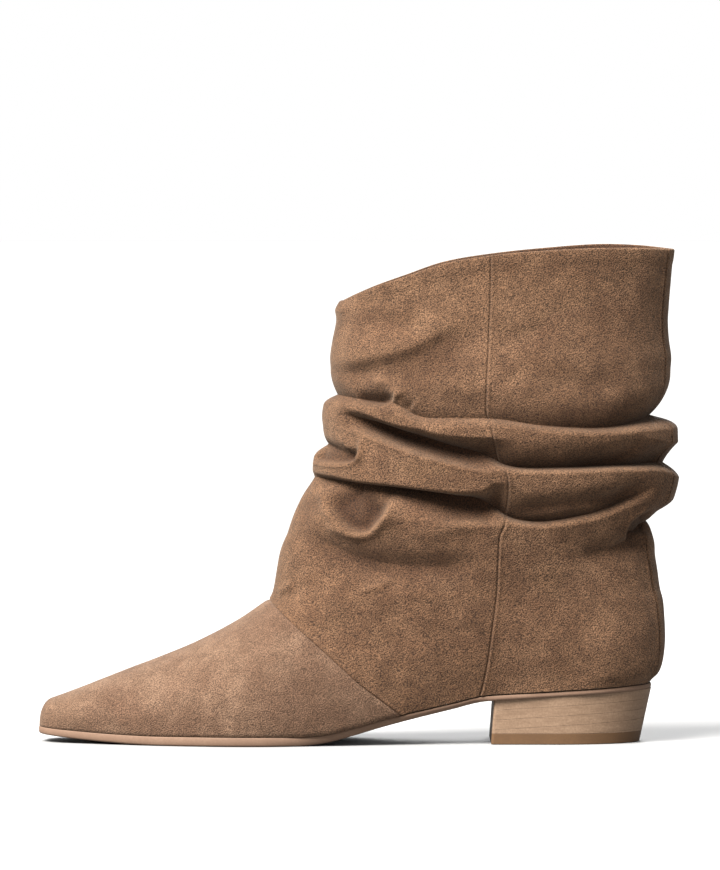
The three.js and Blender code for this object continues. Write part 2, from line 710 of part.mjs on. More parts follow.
function topLiftGeometry() {
  return solidOfRings([heelRing(0), heelRing(topLiftThickness - gap)]);
}

// Materials
const suede = new THREE.MeshStandardMaterial({ color: "#8a6b52", roughness: 0.95, metalness: 0 });
const soleLeather = new THREE.MeshStandardMaterial({ color: "#c39b7c", roughness: 0.55, metalness: 0 });
const stackedLeather = new THREE.MeshStandardMaterial({ color: "#b99a7a", roughness: 0.6, metalness: 0 });
const liftRubber = new THREE.MeshStandardMaterial({ color: "#8a6d4f", roughness: 0.5, metalness: 0 });
const sockLeather = new THREE.MeshStandardMaterial({ color: "#b59a80", roughness: 0.7, metalness: 0 });

// Assembly
function piece(name, geometry, material) {
  const mesh = new THREE.Mesh(geometry, material);
  mesh.name = name;
  return mesh;
}

const heel = new THREE.Group();
heel.add(piece("top_lift", topLiftGeometry(), liftRubber));
liftGeometries().forEach((geometry, i) => heel.add(piece(`heel_lift_${i + 1}`, geometry, stackedLeather)));

const boot = new THREE.Group();
boot.add(piece("upper", upperGeometry(), suede));
boot.add(piece("outsole", outsoleGeometry(), soleLeather));
boot.add(piece("insole", insoleGeometry(), sockLeather));
boot.add(heel);

export default boot;
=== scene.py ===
"""A slouch ankle boot in suede, dressed for a studio picture.

The upper's skin follows the same sections as the solid upper, with finer folds, seams and a rolled
collar. Sizes are millimetres in the tables and turn into metres where a mesh is made. Places are along
the foot (x, to the toe), across it (y, to the outer side) and above the floor (z).
"""

import math

import bmesh
import bpy
import numpy as np
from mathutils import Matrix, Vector


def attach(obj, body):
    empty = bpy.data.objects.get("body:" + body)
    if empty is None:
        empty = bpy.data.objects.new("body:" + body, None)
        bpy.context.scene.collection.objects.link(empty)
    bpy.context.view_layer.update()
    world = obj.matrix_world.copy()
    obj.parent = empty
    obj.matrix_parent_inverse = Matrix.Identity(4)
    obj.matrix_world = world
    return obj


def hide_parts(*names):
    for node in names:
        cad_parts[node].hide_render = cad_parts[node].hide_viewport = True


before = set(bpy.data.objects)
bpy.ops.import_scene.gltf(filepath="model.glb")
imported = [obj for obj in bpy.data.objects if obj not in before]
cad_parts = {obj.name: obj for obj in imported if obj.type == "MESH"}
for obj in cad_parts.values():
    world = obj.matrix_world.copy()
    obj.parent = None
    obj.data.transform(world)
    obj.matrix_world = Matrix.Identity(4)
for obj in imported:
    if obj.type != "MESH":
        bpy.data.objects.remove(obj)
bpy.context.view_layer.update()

MM = 0.001
SMALL = 1e-6
TINY = 1e-9

# Sizes of the foot and the sole
FOOT_LENGTH = 275.8
BALL_WIDTH = 82.0
THROAT_HEIGHT = 62.0
TOE_ROUNDING = 5.0
NOSE_LENGTH = 14.0
WALL = 2.0
VAMP_STEP = 0.8
VAMP_STEP_RUN = 8.0
VAMP_SEAM_RUN = 62.0
TOE_SPRING = 3.4
SPRING_CURVE = 1.6
SOLE_THICKNESS = 3.8
SOLE_MARGIN = 1.0
SOLE_BEVEL = 0.7
SOLE_EDGE = 0.35
SOLE_SWELL = 0.08
SOLE_INSIDE = 3.0
BEVEL_SHARE = 0.3
SOLE_TUCK = 1.4
TUCK_RUN = (-16, 18)
SEAT_TUCK = 0.2
SEAT_RUN = 16.0
WAIST_LEAN = 1.3
WAIST_RUN = 12.0
TREAD_START = 116.0
TREAD_LENGTH = 62.0
HEEL_HEIGHT = 21.2
HEEL_PITCH = 3.5
HEEL_BASE_LENGTH = 66.0
HEEL_BASE_WIDTH = 54.0
HEEL_TOP_LENGTH = 69.2
HEEL_TOP_WIDTH = 57.0
HEEL_BACK_SLANT = 4.7
HEEL_STRAIGHT = 0.08
HEEL_BREAST_WIDTH = 0.985
HEEL_CORNER = 1.2
COUNTER_OVERHANG = 11.2
TOP_LIFT_THICKNESS = 4.7
TOP_LIFT_BEVEL = 0.15
BEVEL_FROM = math.radians(40)
SHARP_FROM = math.radians(20)
LIFT_THICKNESS = 4.3
LIFT_BEVEL = 0.09
LIFT_SEAM = 0.05
INSOLE_THICKNESS = 2.5
INSOLE_CLEARANCE = 0.6
INSOLE_BEVEL = 0.5
INSOLE_CROWN = 0.2
INSOLE_INSIDE = 6.0
GAP = 0.3

# Sizes of the shaft
COLLAR_HEIGHT = 217.8
COLLAR_DROP = 21.8
SHAFT_DEPTH = 149.0
SHAFT_WIDTH = 86.0
SHAFT_CENTRE = 27.0
ROLLS_SHIFT = 0.02
ROLLS_REACH = 0.55
FOLD_DEPTH = 10.0
FOLD_REACH = 12.0
FOLD_OVERHANG = 0.26
LEAN = 0.25
LIP_POWER = 1.8
LIP_RISE = 0.03
LIP_PLACE = 0.9
LIP_END = 6.0
CREASE_EDGE = 3.0
CREASE_RIM = 0.3
CREASE_RIM_PLACE = 1.6
CREASE_RIM_WIDTH = 0.8
CREASE_FADE = 0.24
CREASE_CLEAR = 8.0
HEM_STEP = 0.35
HEM_LINE = (3.5, 6.0)
HEM_ROWS = (1.2, 9.0)
HEM_DOUBLE = 0.8
HEM_RETURN = 0.6
FOOT_TURN = 0.7
FOOT_RAISE = 0.3
EDGE_TURN = 0.3
EDGE_DROP = 0.12
LINING_DEPTH = 1.8
LINING_PRESS = 1.4

# What the materials read at each point, with the depths and heights that count as full: the crease share
# is painted shade in the folds, creases and inner hem, and the crest share a painted highlight on fold lips
# and raised ridges
READ = ("crease_shade", "crest", "seam")
HEM_SHADE = 1.0
CREASE_FULL = 6.0
RIDGE_FULL = 1.5
LIP_FULL = 20.0
SEAM_FAR = 20.0

# The studio, in metres, with the lens and its sensor in millimetres; the floor's reach is in millimetres
FLOOR_REACH = 60000.0
FLOOR_DROP = 0.0002
FLOOR_SHADES = (0.128, 0.136)
CAMERA_PLACE = (0.0906, 3.2, 0.235)
CAMERA_TARGET = (0.0906, 0, 0.135)
CAMERA_SEES = 50.0
LENS = 299.7
SENSOR_WIDTH = 36.0

# Forms of the rounded ends and sides, as powers of a superellipse
TOE_ROUNDNESS = 2.3
NOSE_ROUNDNESS = 3.2
HEEL_ROUNDNESS = 2.3
SHAFT_ROUNDNESS = 2.1
BLEND_ROUNDNESS = 4.0
HEEL_POWER = 0.9
BACK_ROUNDING = 0.12
BULGE_END = 0.7

# Forms of the seams: depth and half-width of the groove, and height and reach of the edge beside it
SIDE_SEAM_FORM = (0.6, 0.45, 0.3, 0.9)
BACK_SEAM_FORM = (0.9, 0.7, 0.4, 1.2)
VAMP_SEAM_FORM = (0.3, 0.6, 0.3, 1.3)
VAMP_EDGE_FORM = (0.4, 0.6, 0, 1)


def table(columns, *rows):
    """A table with named columns, each an array."""
    return {name: np.array(values, float) for name, values in zip(columns.split(), zip(*rows))}


# Slow waves of the soft leather, each the product of two sines: their swell and lengths, and a shift
WAVES = table(
    "swell x z y second_z second_x shift",
    (0.28, 11, 17, 26, 13, -29, 0.7),
    (0.12, 6.3, -9.1, 17, 7.7, 15, -1.9),
)

# Half-widths of the foot as shares of the ball's width, at shares of the foot's length
FOOTPRINT = table(
    "along outer inner bulge roundness",
    (0, 0.32, 0.32, 0.03, 2.2),
    (0.1, 0.355, 0.35, 0.05, 2.2),
    (0.2, 0.365, 0.335, 0.07, 2.2),
    (0.32, 0.365, 0.305, 0.1, 2.1),
    (0.42, 0.395, 0.31, 0.09, 2),
    (0.54, 0.455, 0.375, 0.05, 2),
    (0.64, 0.495, 0.46, 0.03, 2),
    (0.71, 0.48, 0.495, 0.02, 2.1),
    (0.8, 0.41, 0.455, 0.02, 2.2),
    (0.88, 0.315, 0.365, 0.02, 2.4),
    (0.94, 0.235, 0.28, 0.02, 2.6),
    (1, 0.15, 0.185, 0.02, 2.8),
)

# Height of the foot's top line, as shares of the throat's height
TOP_LINE = table(
    "along height",
    (0, 1.19), (0.16, 1.26), (0.305, 1.32), (0.45, 1.29), (0.523, 1.226), (0.577, 1.13), (0.632, 1),
    (0.681, 0.856), (0.745, 0.7), (0.81, 0.582), (0.858, 0.5), (0.906, 0.416), (0.938, 0.36),
    (0.986, 0.284), (1, 0.27),
)

# The shaft: heights as shares of the collar's, reach to the front and back as shares of half its depth,
# and its width's share
SHAFT = table(
    "height front back width",
    (0.11, 1.1, 0.85, 0.14),
    (0.124, 1.18, 0.875, 0.22),
    (0.136, 1.23, 0.912, 0.29),
    (0.152, 1.28, 0.934, 0.39),
    (0.179, 1.34, 0.949, 0.52),
    (0.216, 1.375, 0.956, 0.64),
    (0.25, 1.388, 0.955, 0.73),
    (0.285, 1.384, 0.946, 0.785),
    (0.31, 1.366, 0.925, 0.815),
    (0.346, 1.35, 0.908, 0.85),
    (0.387, 1.33, 0.893, 0.88),
    (0.42, 1.297, 0.91, 0.905),
    (0.459, 1.248, 0.97, 0.937),
    (0.5, 1.188, 1.02, 0.968),
    (0.535, 1.142, 1.042, 0.987),
    (0.575, 1.128, 1.036, 1),
    (0.62, 1.078, 1.03, 1),
    (0.66, 1.082, 1.025, 0.987),
    (0.705, 1.052, 1, 0.962),
    (0.7475, 1.03, 0.99, 0.932),
    (0.778, 1.034, 0.992, 0.91),
    (0.813, 1.02, 0.978, 0.877),
    (0.85, 1, 0.974, 0.84),
    (0.875, 1, 0.979, 0.82),
    (0.9, 0.965, 0.984, 0.8),
    (1, 0.955, 1.008, 0.745),
)

# How far the collar's edge lies below its height, as shares of its drop, from the back to the front
COLLAR = table(
    "along outer inner",
    (0, 0.02, 0.02),
    (0.1, 0, -0.05),
    (0.22, 0, -0.07),
    (0.37, 0.04, 0),
    (0.54, 0.135, 0.12),
    (0.69, 0.3, 0.29),
    (0.81, 0.57, 0.56),
    (0.9, 0.78, 0.77),
    (1, 1.06, 1.06),
)

# The long troughs from the top down: turn in degrees round the shaft, with 0 in front and the inner side
# below 0. Each has a steep flank and a gentle one; hollow is 0 where the gentle flank rounds over and 1 or
# more where it ends in a crisp edge.
RIM_TROUGH = table(
    "turn height depth above below hollow",
    (-180, 0.664, 1.25, 1.7, 0.6, 0),
    (-150, 0.652, 0.9, 1.3, 0.5, 0),
    (-120, 0.633, 0.55, 1.1, 0.45, 0),
    (-90, 0.64, 0.5, 1.1, 0.45, 0),
    (-60, 0.668, 0.55, 1, 0.45, 0),
    (-30, 0.692, 0.45, 0.8, 0.5, 0),
    (0, 0.703, 0.58, 1.1, 0.5, 0.45),
    (20, 0.703, 0.52, 0.95, 0.45, 0.3),
    (38, 0.697, 0.35, 0.6, 0.35, 0),
    (45, 0.692, 0.42, 0.6, 0.35, 0),
    (51, 0.69, 0.48, 0.6, 0.35, 0),
    (55, 0.69, 0.35, 0.5, 0.35, 0),
    (57, 0.687, 0.2, 0.5, 0.35, 0),
    (59.5, 0.678, 0.35, 0.7, 0.35, 0),
    (62, 0.669, 0.45, 0.9, 0.35, 0),
    (66, 0.662, 0.42, 1.1, 0.4, 0),
    (77, 0.66, 0.38, 1.2, 0.4, 0),
    (90, 0.657, 0.4, 1.3, 0.38, 0),
    (103, 0.645, 0.45, 1.3, 0.38, 0),
    (124, 0.639, 0.6, 1.3, 0.38, 0),
    (145, 0.651, 0.95, 1.4, 0.5, 0),
    (160, 0.66, 1.15, 1.6, 0.65, 0),
    (180, 0.664, 1.25, 1.7, 0.72, 0),
)
MIDDLE_TROUGH = table(
    "turn height depth above below hollow",
    (-180, 0.563, 0.6, 0.75, 0.65, 0.8),
    (-157, 0.558, 0.6, 1, 0.6, 0),
    (-124, 0.555, 0.65, 1.2, 0.45, 0),
    (-90, 0.565, 0.65, 1.1, 0.6, 0),
    (-65, 0.6, 0.7, 0.5, 0.8, 0.6),
    (-45, 0.635, 0.6, 0.35, 0.6, 0.8),
    (-36, 0.65, 0.2, 0.3, 0.5, 0.8),
    (-28, 0.655, 0, 0.4, 0.5, 0.5),
    (0, 0.655, 0, 0.4, 0.5, 0.5),
    (25, 0.66, 0, 0.3, 0.5, 0.6),
    (33, 0.662, 0.1, 0.3, 0.45, 0.7),
    (38, 0.658, 0.5, 0.35, 0.5, 1),
    (45, 0.65, 0.8, 0.35, 0.52, 1.25),
    (54, 0.637, 1, 0.35, 0.6, 1.35),
    (63, 0.622, 1.05, 0.4, 0.66, 1.35),
    (74, 0.604, 1.05, 0.45, 0.66, 1.3),
    (85, 0.587, 0.95, 0.6, 0.62, 1.1),
    (92, 0.566, 0.8, 0.9, 0.4, 0.4),
    (97, 0.56, 0.78, 1.05, 0.36, 0),
    (110, 0.56, 0.8, 1.1, 0.36, 0),
    (124, 0.562, 0.88, 1.05, 0.36, 0),
    (135, 0.563, 0.95, 1, 0.36, 0),
    (145, 0.564, 1, 0.85, 0.38, 0.3),
    (152, 0.565, 1, 0.7, 0.4, 0.6),
    (162, 0.564, 0.8, 0.65, 0.5, 0.8),
    (180, 0.563, 0.6, 0.75, 0.65, 0.8),
)
LOW_TROUGH = table(
    "turn height depth above below hollow",
    (-180, 0.52, 0, 0.5, 0.4, 0),
    (-165, 0.515, 0.1, 0.6, 0.4, 0),
    (-140, 0.495, 0.5, 1, 0.4, 0),
    (-120, 0.47, 0.6, 1.3, 0.4, 0),
    (-90, 0.46, 0.6, 1, 0.6, 0),
    (-60, 0.495, 0.65, 0.4, 1, 0.3),
    (-35, 0.52, 0.45, 0.3, 1.2, 0),
    (0, 0.535, 0.15, 0.3, 1, 0),
    (17, 0.534, 0.4, 0.3, 1.2, 0),
    (30, 0.53, 0.55, 0.3, 1.6, 0),
    (40, 0.525, 0.7, 0.3, 1.9, 0),
    (52, 0.52, 0.85, 0.3, 1.3, 0.1),
    (60, 0.516, 1, 0.3, 1.1, 0.2),
    (69, 0.51, 1.05, 0.3, 1.1, 0.5),
    (76, 0.503, 1.05, 0.35, 1.05, 0.8),
    (84, 0.497, 1, 0.45, 0.95, 1),
    (90, 0.478, 0.9, 0.9, 0.68, 0.8),
    (95, 0.458, 0.75, 1.1, 0.4, 0.3),
    (103, 0.451, 0.7, 0.9, 0.36, 0.1),
    (116, 0.462, 0.65, 0.7, 0.36, 0.1),
    (124, 0.472, 0.65, 0.65, 0.36, 0.2),
    (132, 0.489, 0.6, 0.6, 0.36, 0.3),
    (138, 0.5, 0.4, 0.5, 0.36, 0.3),
    (144, 0.51, 0.1, 0.5, 0.36, 0),
    (149, 0.517, 0, 0.5, 0.36, 0),
    (165, 0.52, 0, 0.5, 0.4, 0),
    (180, 0.52, 0, 0.5, 0.4, 0),
)
ANKLE_TROUGH = table(
    "turn height depth above below hollow",
    (-180, 0.462, 1.2, 0.62, 0.66, 0),
    (-160, 0.456, 1.1, 0.66, 0.7, 0),
    (-142, 0.415, 0.4, 1.1, 0.9, 0),
    (-125, 0.39, 0, 1.1, 1, 0),
    (-90, 0.37, 0, 1.5, 1.5, 0),
    (-50, 0.38, 0.1, 1.8, 1.8, 0),
    (0, 0.42, 0.1, 1.8, 1.8, 0),
    (25, 0.4, 0.2, 2.2, 1.8, 0),
    (45, 0.372, 0.25, 2.4, 1.8, 0),
    (62, 0.362, 0.2, 2.2, 1.8, 0),
    (80, 0.36, 0, 1.5, 1.5, 0),
    (105, 0.37, 0, 1.3, 1.3, 0),
    (125, 0.39, 0.15, 1.1, 1, 0),
    (135, 0.41, 0.35, 1.1, 0.9, 0),
    (148, 0.44, 0.75, 1, 0.9, 0),
    (160, 0.456, 1.1, 0.66, 0.7, 0),
    (180, 0.462, 1.2, 0.62, 0.66, 0),
)
FRONT_TROUGH = table(
    "turn height depth above below hollow",
    (-48, 0.575, 0, 0.5, 0.4, 0),
    (-25, 0.588, 0.35, 0.6, 0.4, 0),
    (0, 0.604, 0.45, 0.6, 0.5, 0),
    (15, 0.602, 0.42, 0.6, 0.5, 0),
    (24, 0.596, 0.35, 0.6, 0.5, 0),
    (32, 0.588, 0.2, 0.6, 0.5, 0),
    (42, 0.58, 0, 0.5, 0.4, 0),
)

# The seam behind the vamp: distance behind the throat as a share of its run, and height as a share of
# the throat's
VAMP_SEAM = table(
    "height behind",
    (0, 1.08), (0.16, 0.98), (0.26, 0.86), (0.42, 0.65), (0.6, 0.45), (0.82, 0.2), (1, 0),
)

# The seam down the side of the shaft, on both sides: place along the foot at heights above the floor
SIDE_SEAM = table(
    "height along",
    (16, 38.6), (20, 38.4), (25, 36.9), (36, 34.7), (52, 32.5), (66.5, 30.7), (81, 30.1), (91.5, 29.4),
    (95.5, 27.4), (102.5, 25.8), (109.5, 25.6), (115.5, 26), (120, 27.2), (124.5, 29.7), (128, 31),
    (135, 32.5), (140.5, 33.4), (145, 35.4), (157, 35.4), (174, 34.5), (204, 33.4), (217, 33.6),
)

# Height of the sole's lower face in the waist, as shares of its height at the heel's breast
WAIST = table(
    "along share",
    (0, 1), (0.06, 0.975), (0.12, 0.92), (0.2, 0.825), (0.3, 0.718), (0.44, 0.568), (0.6, 0.385),
    (0.76, 0.185), (0.88, 0.06), (1, 0),
)

# Thickness of the outsole along the foot, as shares of its thickness under the ball
SOLE_SHARE = table(
    "along share",
    (0, 0.55), (0.27, 0.6), (0.4, 0.72), (0.56, 0.95), (0.62, 1), (0.82, 1), (1, 0.8),
)


# Creases set one by one on the outer side. Each has its depth, or below 0 its height, then its reaches over
# and under its line, over being the toe's side where the line is upright, and then the line's places along
# the foot and above the floor.
CREASES = [
    # Curled pocket at the front end of the upper roll, its lit hook, and the ridge that runs over it
    (1.9, 3.3, 1.6, (94, 151.9), (86, 151.3), (82, 151.3), (78.7, 152.4), (76.9, 154.6)),
    (-1.2, 1.2, 1.2, (82.5, 149.6), (79.2, 149.9), (76.2, 151), (74.6, 153.2), (74, 156)),
    (-1.5, 2.4, 2, (88, 158.4), (83, 159.4), (79, 158.6), (75.6, 155.6), (73.2, 151.5),
     (69.5, 148)),
    (1.6, 3.6, 1.2, (74.6, 153.6), (72.2, 150.6), (69, 147.2)),
    # Pocket between the front ends of the two rolls, with its ridge behind
    (4.4, 5, 1.2, (121, 126.2), (112, 125.2), (104.5, 124.7), (98.5, 124.9), (94.8, 125.9),
     (93, 128.2), (92.4, 132)),
    (-1.5, 1.6, 1.8, (89.6, 135.6), (90, 132), (90.6, 128), (92, 123.6)),
    # Lit shoulder of the lower roll in front
    (-0.9, 1.4, 2, (98.6, 140.4), (92.8, 137.8), (87.5, 135.6), (81.8, 133), (75, 130.3),
     (68.5, 128.2)),
    # Scoop under the lower roll: its hollow, the thin ridge in front, the curved rim and the lit arm behind
    (5.2, 13, 2, (107, 110.5), (102.4, 103.2), (97.4, 98), (92.8, 95.2), (88, 95.6),
     (84, 99.4), (80.9, 103.8), (78.4, 108.4)),
    (-0.9, 1.4, 1.4, (113, 119), (109.4, 112.2), (105.2, 105), (99, 98)),
    (-1.3, 1.6, 1.6, (107, 97.2), (101.6, 93.8), (95, 91.8), (89.5, 92.2), (85, 94.8)),
    (-1.9, 2.4, 6, (88, 92.6), (80.9, 100.3), (77.4, 105.1), (74, 111)),
    # Hollow in front of the thin ridge
    (1.4, 4, 4, (119, 99), (113, 104), (109, 109)),
    # Soft trough under the scoop
    (2.3, 5.8, 7, (122, 92), (107, 86), (95, 81), (81, 78.4), (64, 77.6), (48, 78.6), (34, 82)),
    # Small ridges over the instep
    (-1.2, 1.7, 1.7, (127, 65.4), (123, 68), (119.5, 69.8)),
    (-0.8, 1.7, 1.7, (92, 66.8), (83.5, 69.4), (75, 73.8)),
    # Soft ridge below the lip of the lower trough
    (-0.8, 2.4, 3, (70, 94.4), (58, 93.6), (46, 96.4), (34, 97)),
    # Soft ridge across the shaft in front, and the trough under it
    (-1.7, 8, 3.4, (108, 166.5), (98, 167.6), (82, 171.4), (70, 174.8), (57, 181.4), (44, 188)),
    (1.7, 6.6, 8.5, (106, 160), (88, 160.6), (74, 162.4), (60, 167), (46, 174), (32, 183)),
    # Shallow hollows in the shaft
    (0.9, 5, 5, (66, 153), (52, 152), (44, 151), (34, 150)),
    (0.8, 5.5, 5.5, (32, 176), (16, 180), (2, 183)),
    (0.8, 5, 7, (12, 161), (-8, 158), (-26, 161)),
    # Soft dark creases within the two rolls at the back
    (2, 4, 3, (2, 123.8), (-8, 124), (-17.7, 125.2), (-24.3, 126.8), (-31, 130.5), (-36, 134)),
    (2.6, 3.6, 3.2, (26, 103.6), (11, 105.3), (-4, 106.8), (-19.9, 108.8), (-26.5, 111.3),
     (-33, 113), (-40, 112.4)),
    # Hollow at the back, under the overhanging end of the lower roll, and the soft shade below it
    (4.6, 1.4, 7.5, (-30.5, 89.2), (-29.3, 92.2), (-29.8, 95.2), (-32.4, 97.8), (-36, 100), (-39, 102)),
    (1.1, 4.4, 7, (-4, 82.5), (-25, 85.5), (-39, 90)),
]

# Fineness of the meshes
FOOT_ROWS = 60
FOOT_ROW_BIAS = 1.4
LEG_ROWS = [34, 34, 50, 50, 38, 30]
LEG_STEP = 0.25
LEG_GROWTH = 1.12
COLLAR_STEP = 0.5
SMOOTH_LEVEL = 0.8
RIM_TURNS = 9
BACK_COLUMNS = 14
REAR_COLUMNS = 84
FRONT_COLUMNS = 128
SEAM_STEP = 0.2
SIDE_STEP = 0.12
FRONT_STEP = 0.5
COLUMN_GROWTH = 1.22
BACK_SEAM_PLACE = 0.092
BACK_SEAM_SCALE = 150.0
VAMP_COLUMNS = 190
VAMP_ROWS = 100
VAMP_BIAS = 1.6
VAMP_WAVES = 0.5
JUST_UNDER = 0.001
VAMP_CALM = (5, 40)
SOLE_POINTS = 220
HEEL_POINTS = 96
CORNER_POINTS = 7
CREASE_POINTS = 24
HALVINGS = 40
SEAM_SEARCH = (-20, 40)
FRONT_SEARCH = 10
VAMP_SEARCH = 40.0


# Interpolation and small sums
def through(rows, given, wanted):
    """A smooth function through a table's rows, from one named column to another."""
    x, y = rows[given], rows[wanted]
    place = np.arange(len(x))
    before, after = np.maximum(place - 1, 0), np.minimum(place + 1, len(x) - 1)
    slope = (y[after] - y[before]) / (x[after] - x[before])

    def at(value):
        v = np.clip(value, x[0], x[-1])
        i = np.clip(np.searchsorted(x, v) - 1, 0, len(x) - 2)
        run = x[i + 1] - x[i]
        t = (v - x[i]) / run
        start = y[i] * (1 + 2 * t) * (1 - t) ** 2 + slope[i] * run * t * (1 - t) ** 2
        end = y[i + 1] * t * t * (3 - 2 * t) + slope[i + 1] * run * t * t * (t - 1)
        return start + end

    return at


def all_through(rows, given, *wanted):
    return [through(rows, given, name) for name in wanted]


def lerp(low, high, share):
    return low + (high - low) * share


def smoothstep(value, low, high):
    t = np.clip((value - low) / (high - low), 0, 1)
    return t * t * (3 - 2 * t)


def round_off(share, power):
    """A superellipse's half-width at a share of its half-length."""
    return np.maximum(0, 1 - np.clip(share, 0, 1) ** power) ** (1 / power)


def unit(vectors):
    return vectors / np.maximum(np.linalg.norm(vectors, axis=-1, keepdims=True), TINY)


def outwards(x, y, side):
    """Level ways out of the points of a line that runs forwards along one side."""
    dx, dy = np.gradient(x, axis=-1), np.gradient(y, axis=-1)
    size = np.maximum(np.hypot(dx, dy), TINY)
    return -side * dy / size, side * dx / size


def crossing(falling, low, high):
    """The places between low and high where a falling function crosses zero, for whole arrays at once."""
    for _ in range(HALVINGS):
        middle = (low + high) / 2
        above = falling(middle) > 0
        low = np.where(above, middle, low)
        high = np.where(above, high, middle)
    return (low + high) / 2


def graded(count, start, end, growth=COLUMN_GROWTH):
    """Shares from 0 to 1 whose steps begin and end small, as shares of the steps between."""
    k = np.arange(count)
    steps = np.minimum(np.minimum(start * growth**k, end * growth ** (count - 1 - k)), 1)
    return np.minimum(np.concatenate([[0], np.cumsum(steps)]) / steps.sum(), 1)


# Places along the foot
FOOT_BACK = -(HEEL_BASE_LENGTH / 2 + COUNTER_OVERHANG)
TOE_TIP = FOOT_BACK + FOOT_LENGTH
SEAT_BACK = -HEEL_BASE_LENGTH / 2 - HEEL_BACK_SLANT
HEEL_BREAST = SEAT_BACK + HEEL_TOP_LENGTH
TREAD_END = TREAD_START + TREAD_LENGTH
SEAT_SLOPE = math.tan(math.radians(HEEL_PITCH))


def along_foot(x):
    return (x - FOOT_BACK) / FOOT_LENGTH


# Lines of the sole
waist_share = through(WAIST, "along", "share")
sole_share = through(SOLE_SHARE, "along", "share")


def seat_line(x):
    return HEEL_HEIGHT - SEAT_SLOPE * x


def sole_bottom(x):
    waist = seat_line(HEEL_BREAST) * waist_share((x - HEEL_BREAST) / (TREAD_START - HEEL_BREAST))
    spring = TOE_SPRING * np.clip((x - TREAD_END) / (TOE_TIP - TREAD_END), 0, 1) ** SPRING_CURVE
    return np.where(x <= HEEL_BREAST, seat_line(x), np.where(x < TREAD_START, waist, spring))


def sole_top(x):
    return sole_bottom(x) + SOLE_THICKNESS * sole_share(along_foot(x))


def feather(x):
    return sole_top(x) + GAP


# The form of the foot and the shaft: a half-width for each place along and above
outline_outer, outline_inner = all_through(FOOTPRINT, "along", "outer", "inner")
bulge, roundness = all_through(FOOTPRINT, "along", "bulge", "roundness")
top_line = through(TOP_LINE, "along", "height")
reach_front, reach_back, shaft_width = all_through(SHAFT, "height", "front", "back", "width")
collar_outer, collar_inner = all_through(COLLAR, "along", "outer", "inner")


def foot_top(x):
    low = feather(x)
    tip = np.clip((x - (TOE_TIP - TOE_ROUNDING)) / TOE_ROUNDING, 0, 1)
    return low + (top_line(along_foot(x)) * THROAT_HEIGHT - low) * round_off(tip, TOE_ROUNDNESS)


def shaft_front(z):
    return SHAFT_CENTRE + reach_front(z / COLLAR_HEIGHT) * SHAFT_DEPTH / 2


def shaft_back(z):
    return SHAFT_CENTRE - reach_back(z / COLLAR_HEIGHT) * SHAFT_DEPTH / 2


def foot_half_width(x, z, side):
    back = shaft_back(z)
    place = np.clip((x - back) / (TOE_TIP - back), 0, 1)
    nose = np.clip((x - (TOE_TIP - NOSE_LENGTH)) / NOSE_LENGTH, 0, 1)
    heel = np.clip(1 - place / BACK_ROUNDING, 0, 1)
    outline = np.where(side > 0, outline_outer(place), outline_inner(place))
    footprint = BALL_WIDTH * outline * round_off(nose, NOSE_ROUNDNESS) * round_off(heel, HEEL_ROUNDNESS)
    low = feather(x)
    share = np.clip((z - low) / np.maximum(foot_top(x) - low, SMALL), 0, 1)
    along = along_foot(x)
    swell = 1 + bulge(along) * np.sin(np.pi * np.minimum(share / BULGE_END, 1))
    return footprint * swell * round_off(share, roundness(along))


def shaft_half_width(x, z):
    front, back = shaft_front(z), shaft_back(z)
    share = np.abs(2 * x - front - back) / (front - back)
    return shaft_width(z / COLLAR_HEIGHT) * SHAFT_WIDTH / 2 * round_off(share, SHAFT_ROUNDNESS)


def half_width(x, z, side):
    foot = foot_half_width(x, z, side) ** BLEND_ROUNDNESS
    return (foot + shaft_half_width(x, z) ** BLEND_ROUNDNESS) ** (1 / BLEND_ROUNDNESS)


# Places round the shaft
ROLLS_CENTRE = SHAFT_CENTRE + ROLLS_SHIFT * SHAFT_DEPTH
ROLLS_HALF = ROLLS_REACH * SHAFT_DEPTH
FRONT_MEETING = (26, 56)
BACK_MEETING = (132, 150)


def turn_at(x):
    """Degrees round the shaft from its front, alike on both sides."""
    return np.degrees(np.arccos(np.clip((x - ROLLS_CENTRE) / ROLLS_HALF, -1, 1)))


def on_both_sides(rows, column):
    """A trough's column by turn and side; the inner side joins the outer one in front and at the back."""
    at = through(rows, "turn", column)

    def value(turn, side):
        outer = at(turn)
        own = smoothstep(turn, *FRONT_MEETING) * (1 - smoothstep(turn, *BACK_MEETING))
        inner = lerp(outer, at(-turn), own)
        return np.where(side > 0, outer, inner)

    return value


def fold_from(rows):
    columns = {name: on_both_sides(rows, name) for name in ("height", "depth", "above", "below", "hollow")}
    return {"start": rows["turn"][0], "end": rows["turn"][-1], **columns}


LONG_FOLDS = [fold_from(rows) for rows in (RIM_TROUGH, MIDDLE_TROUGH, LOW_TROUGH, ANKLE_TROUGH)]
FOLDS = LONG_FOLDS + [fold_from(FRONT_TROUGH)]


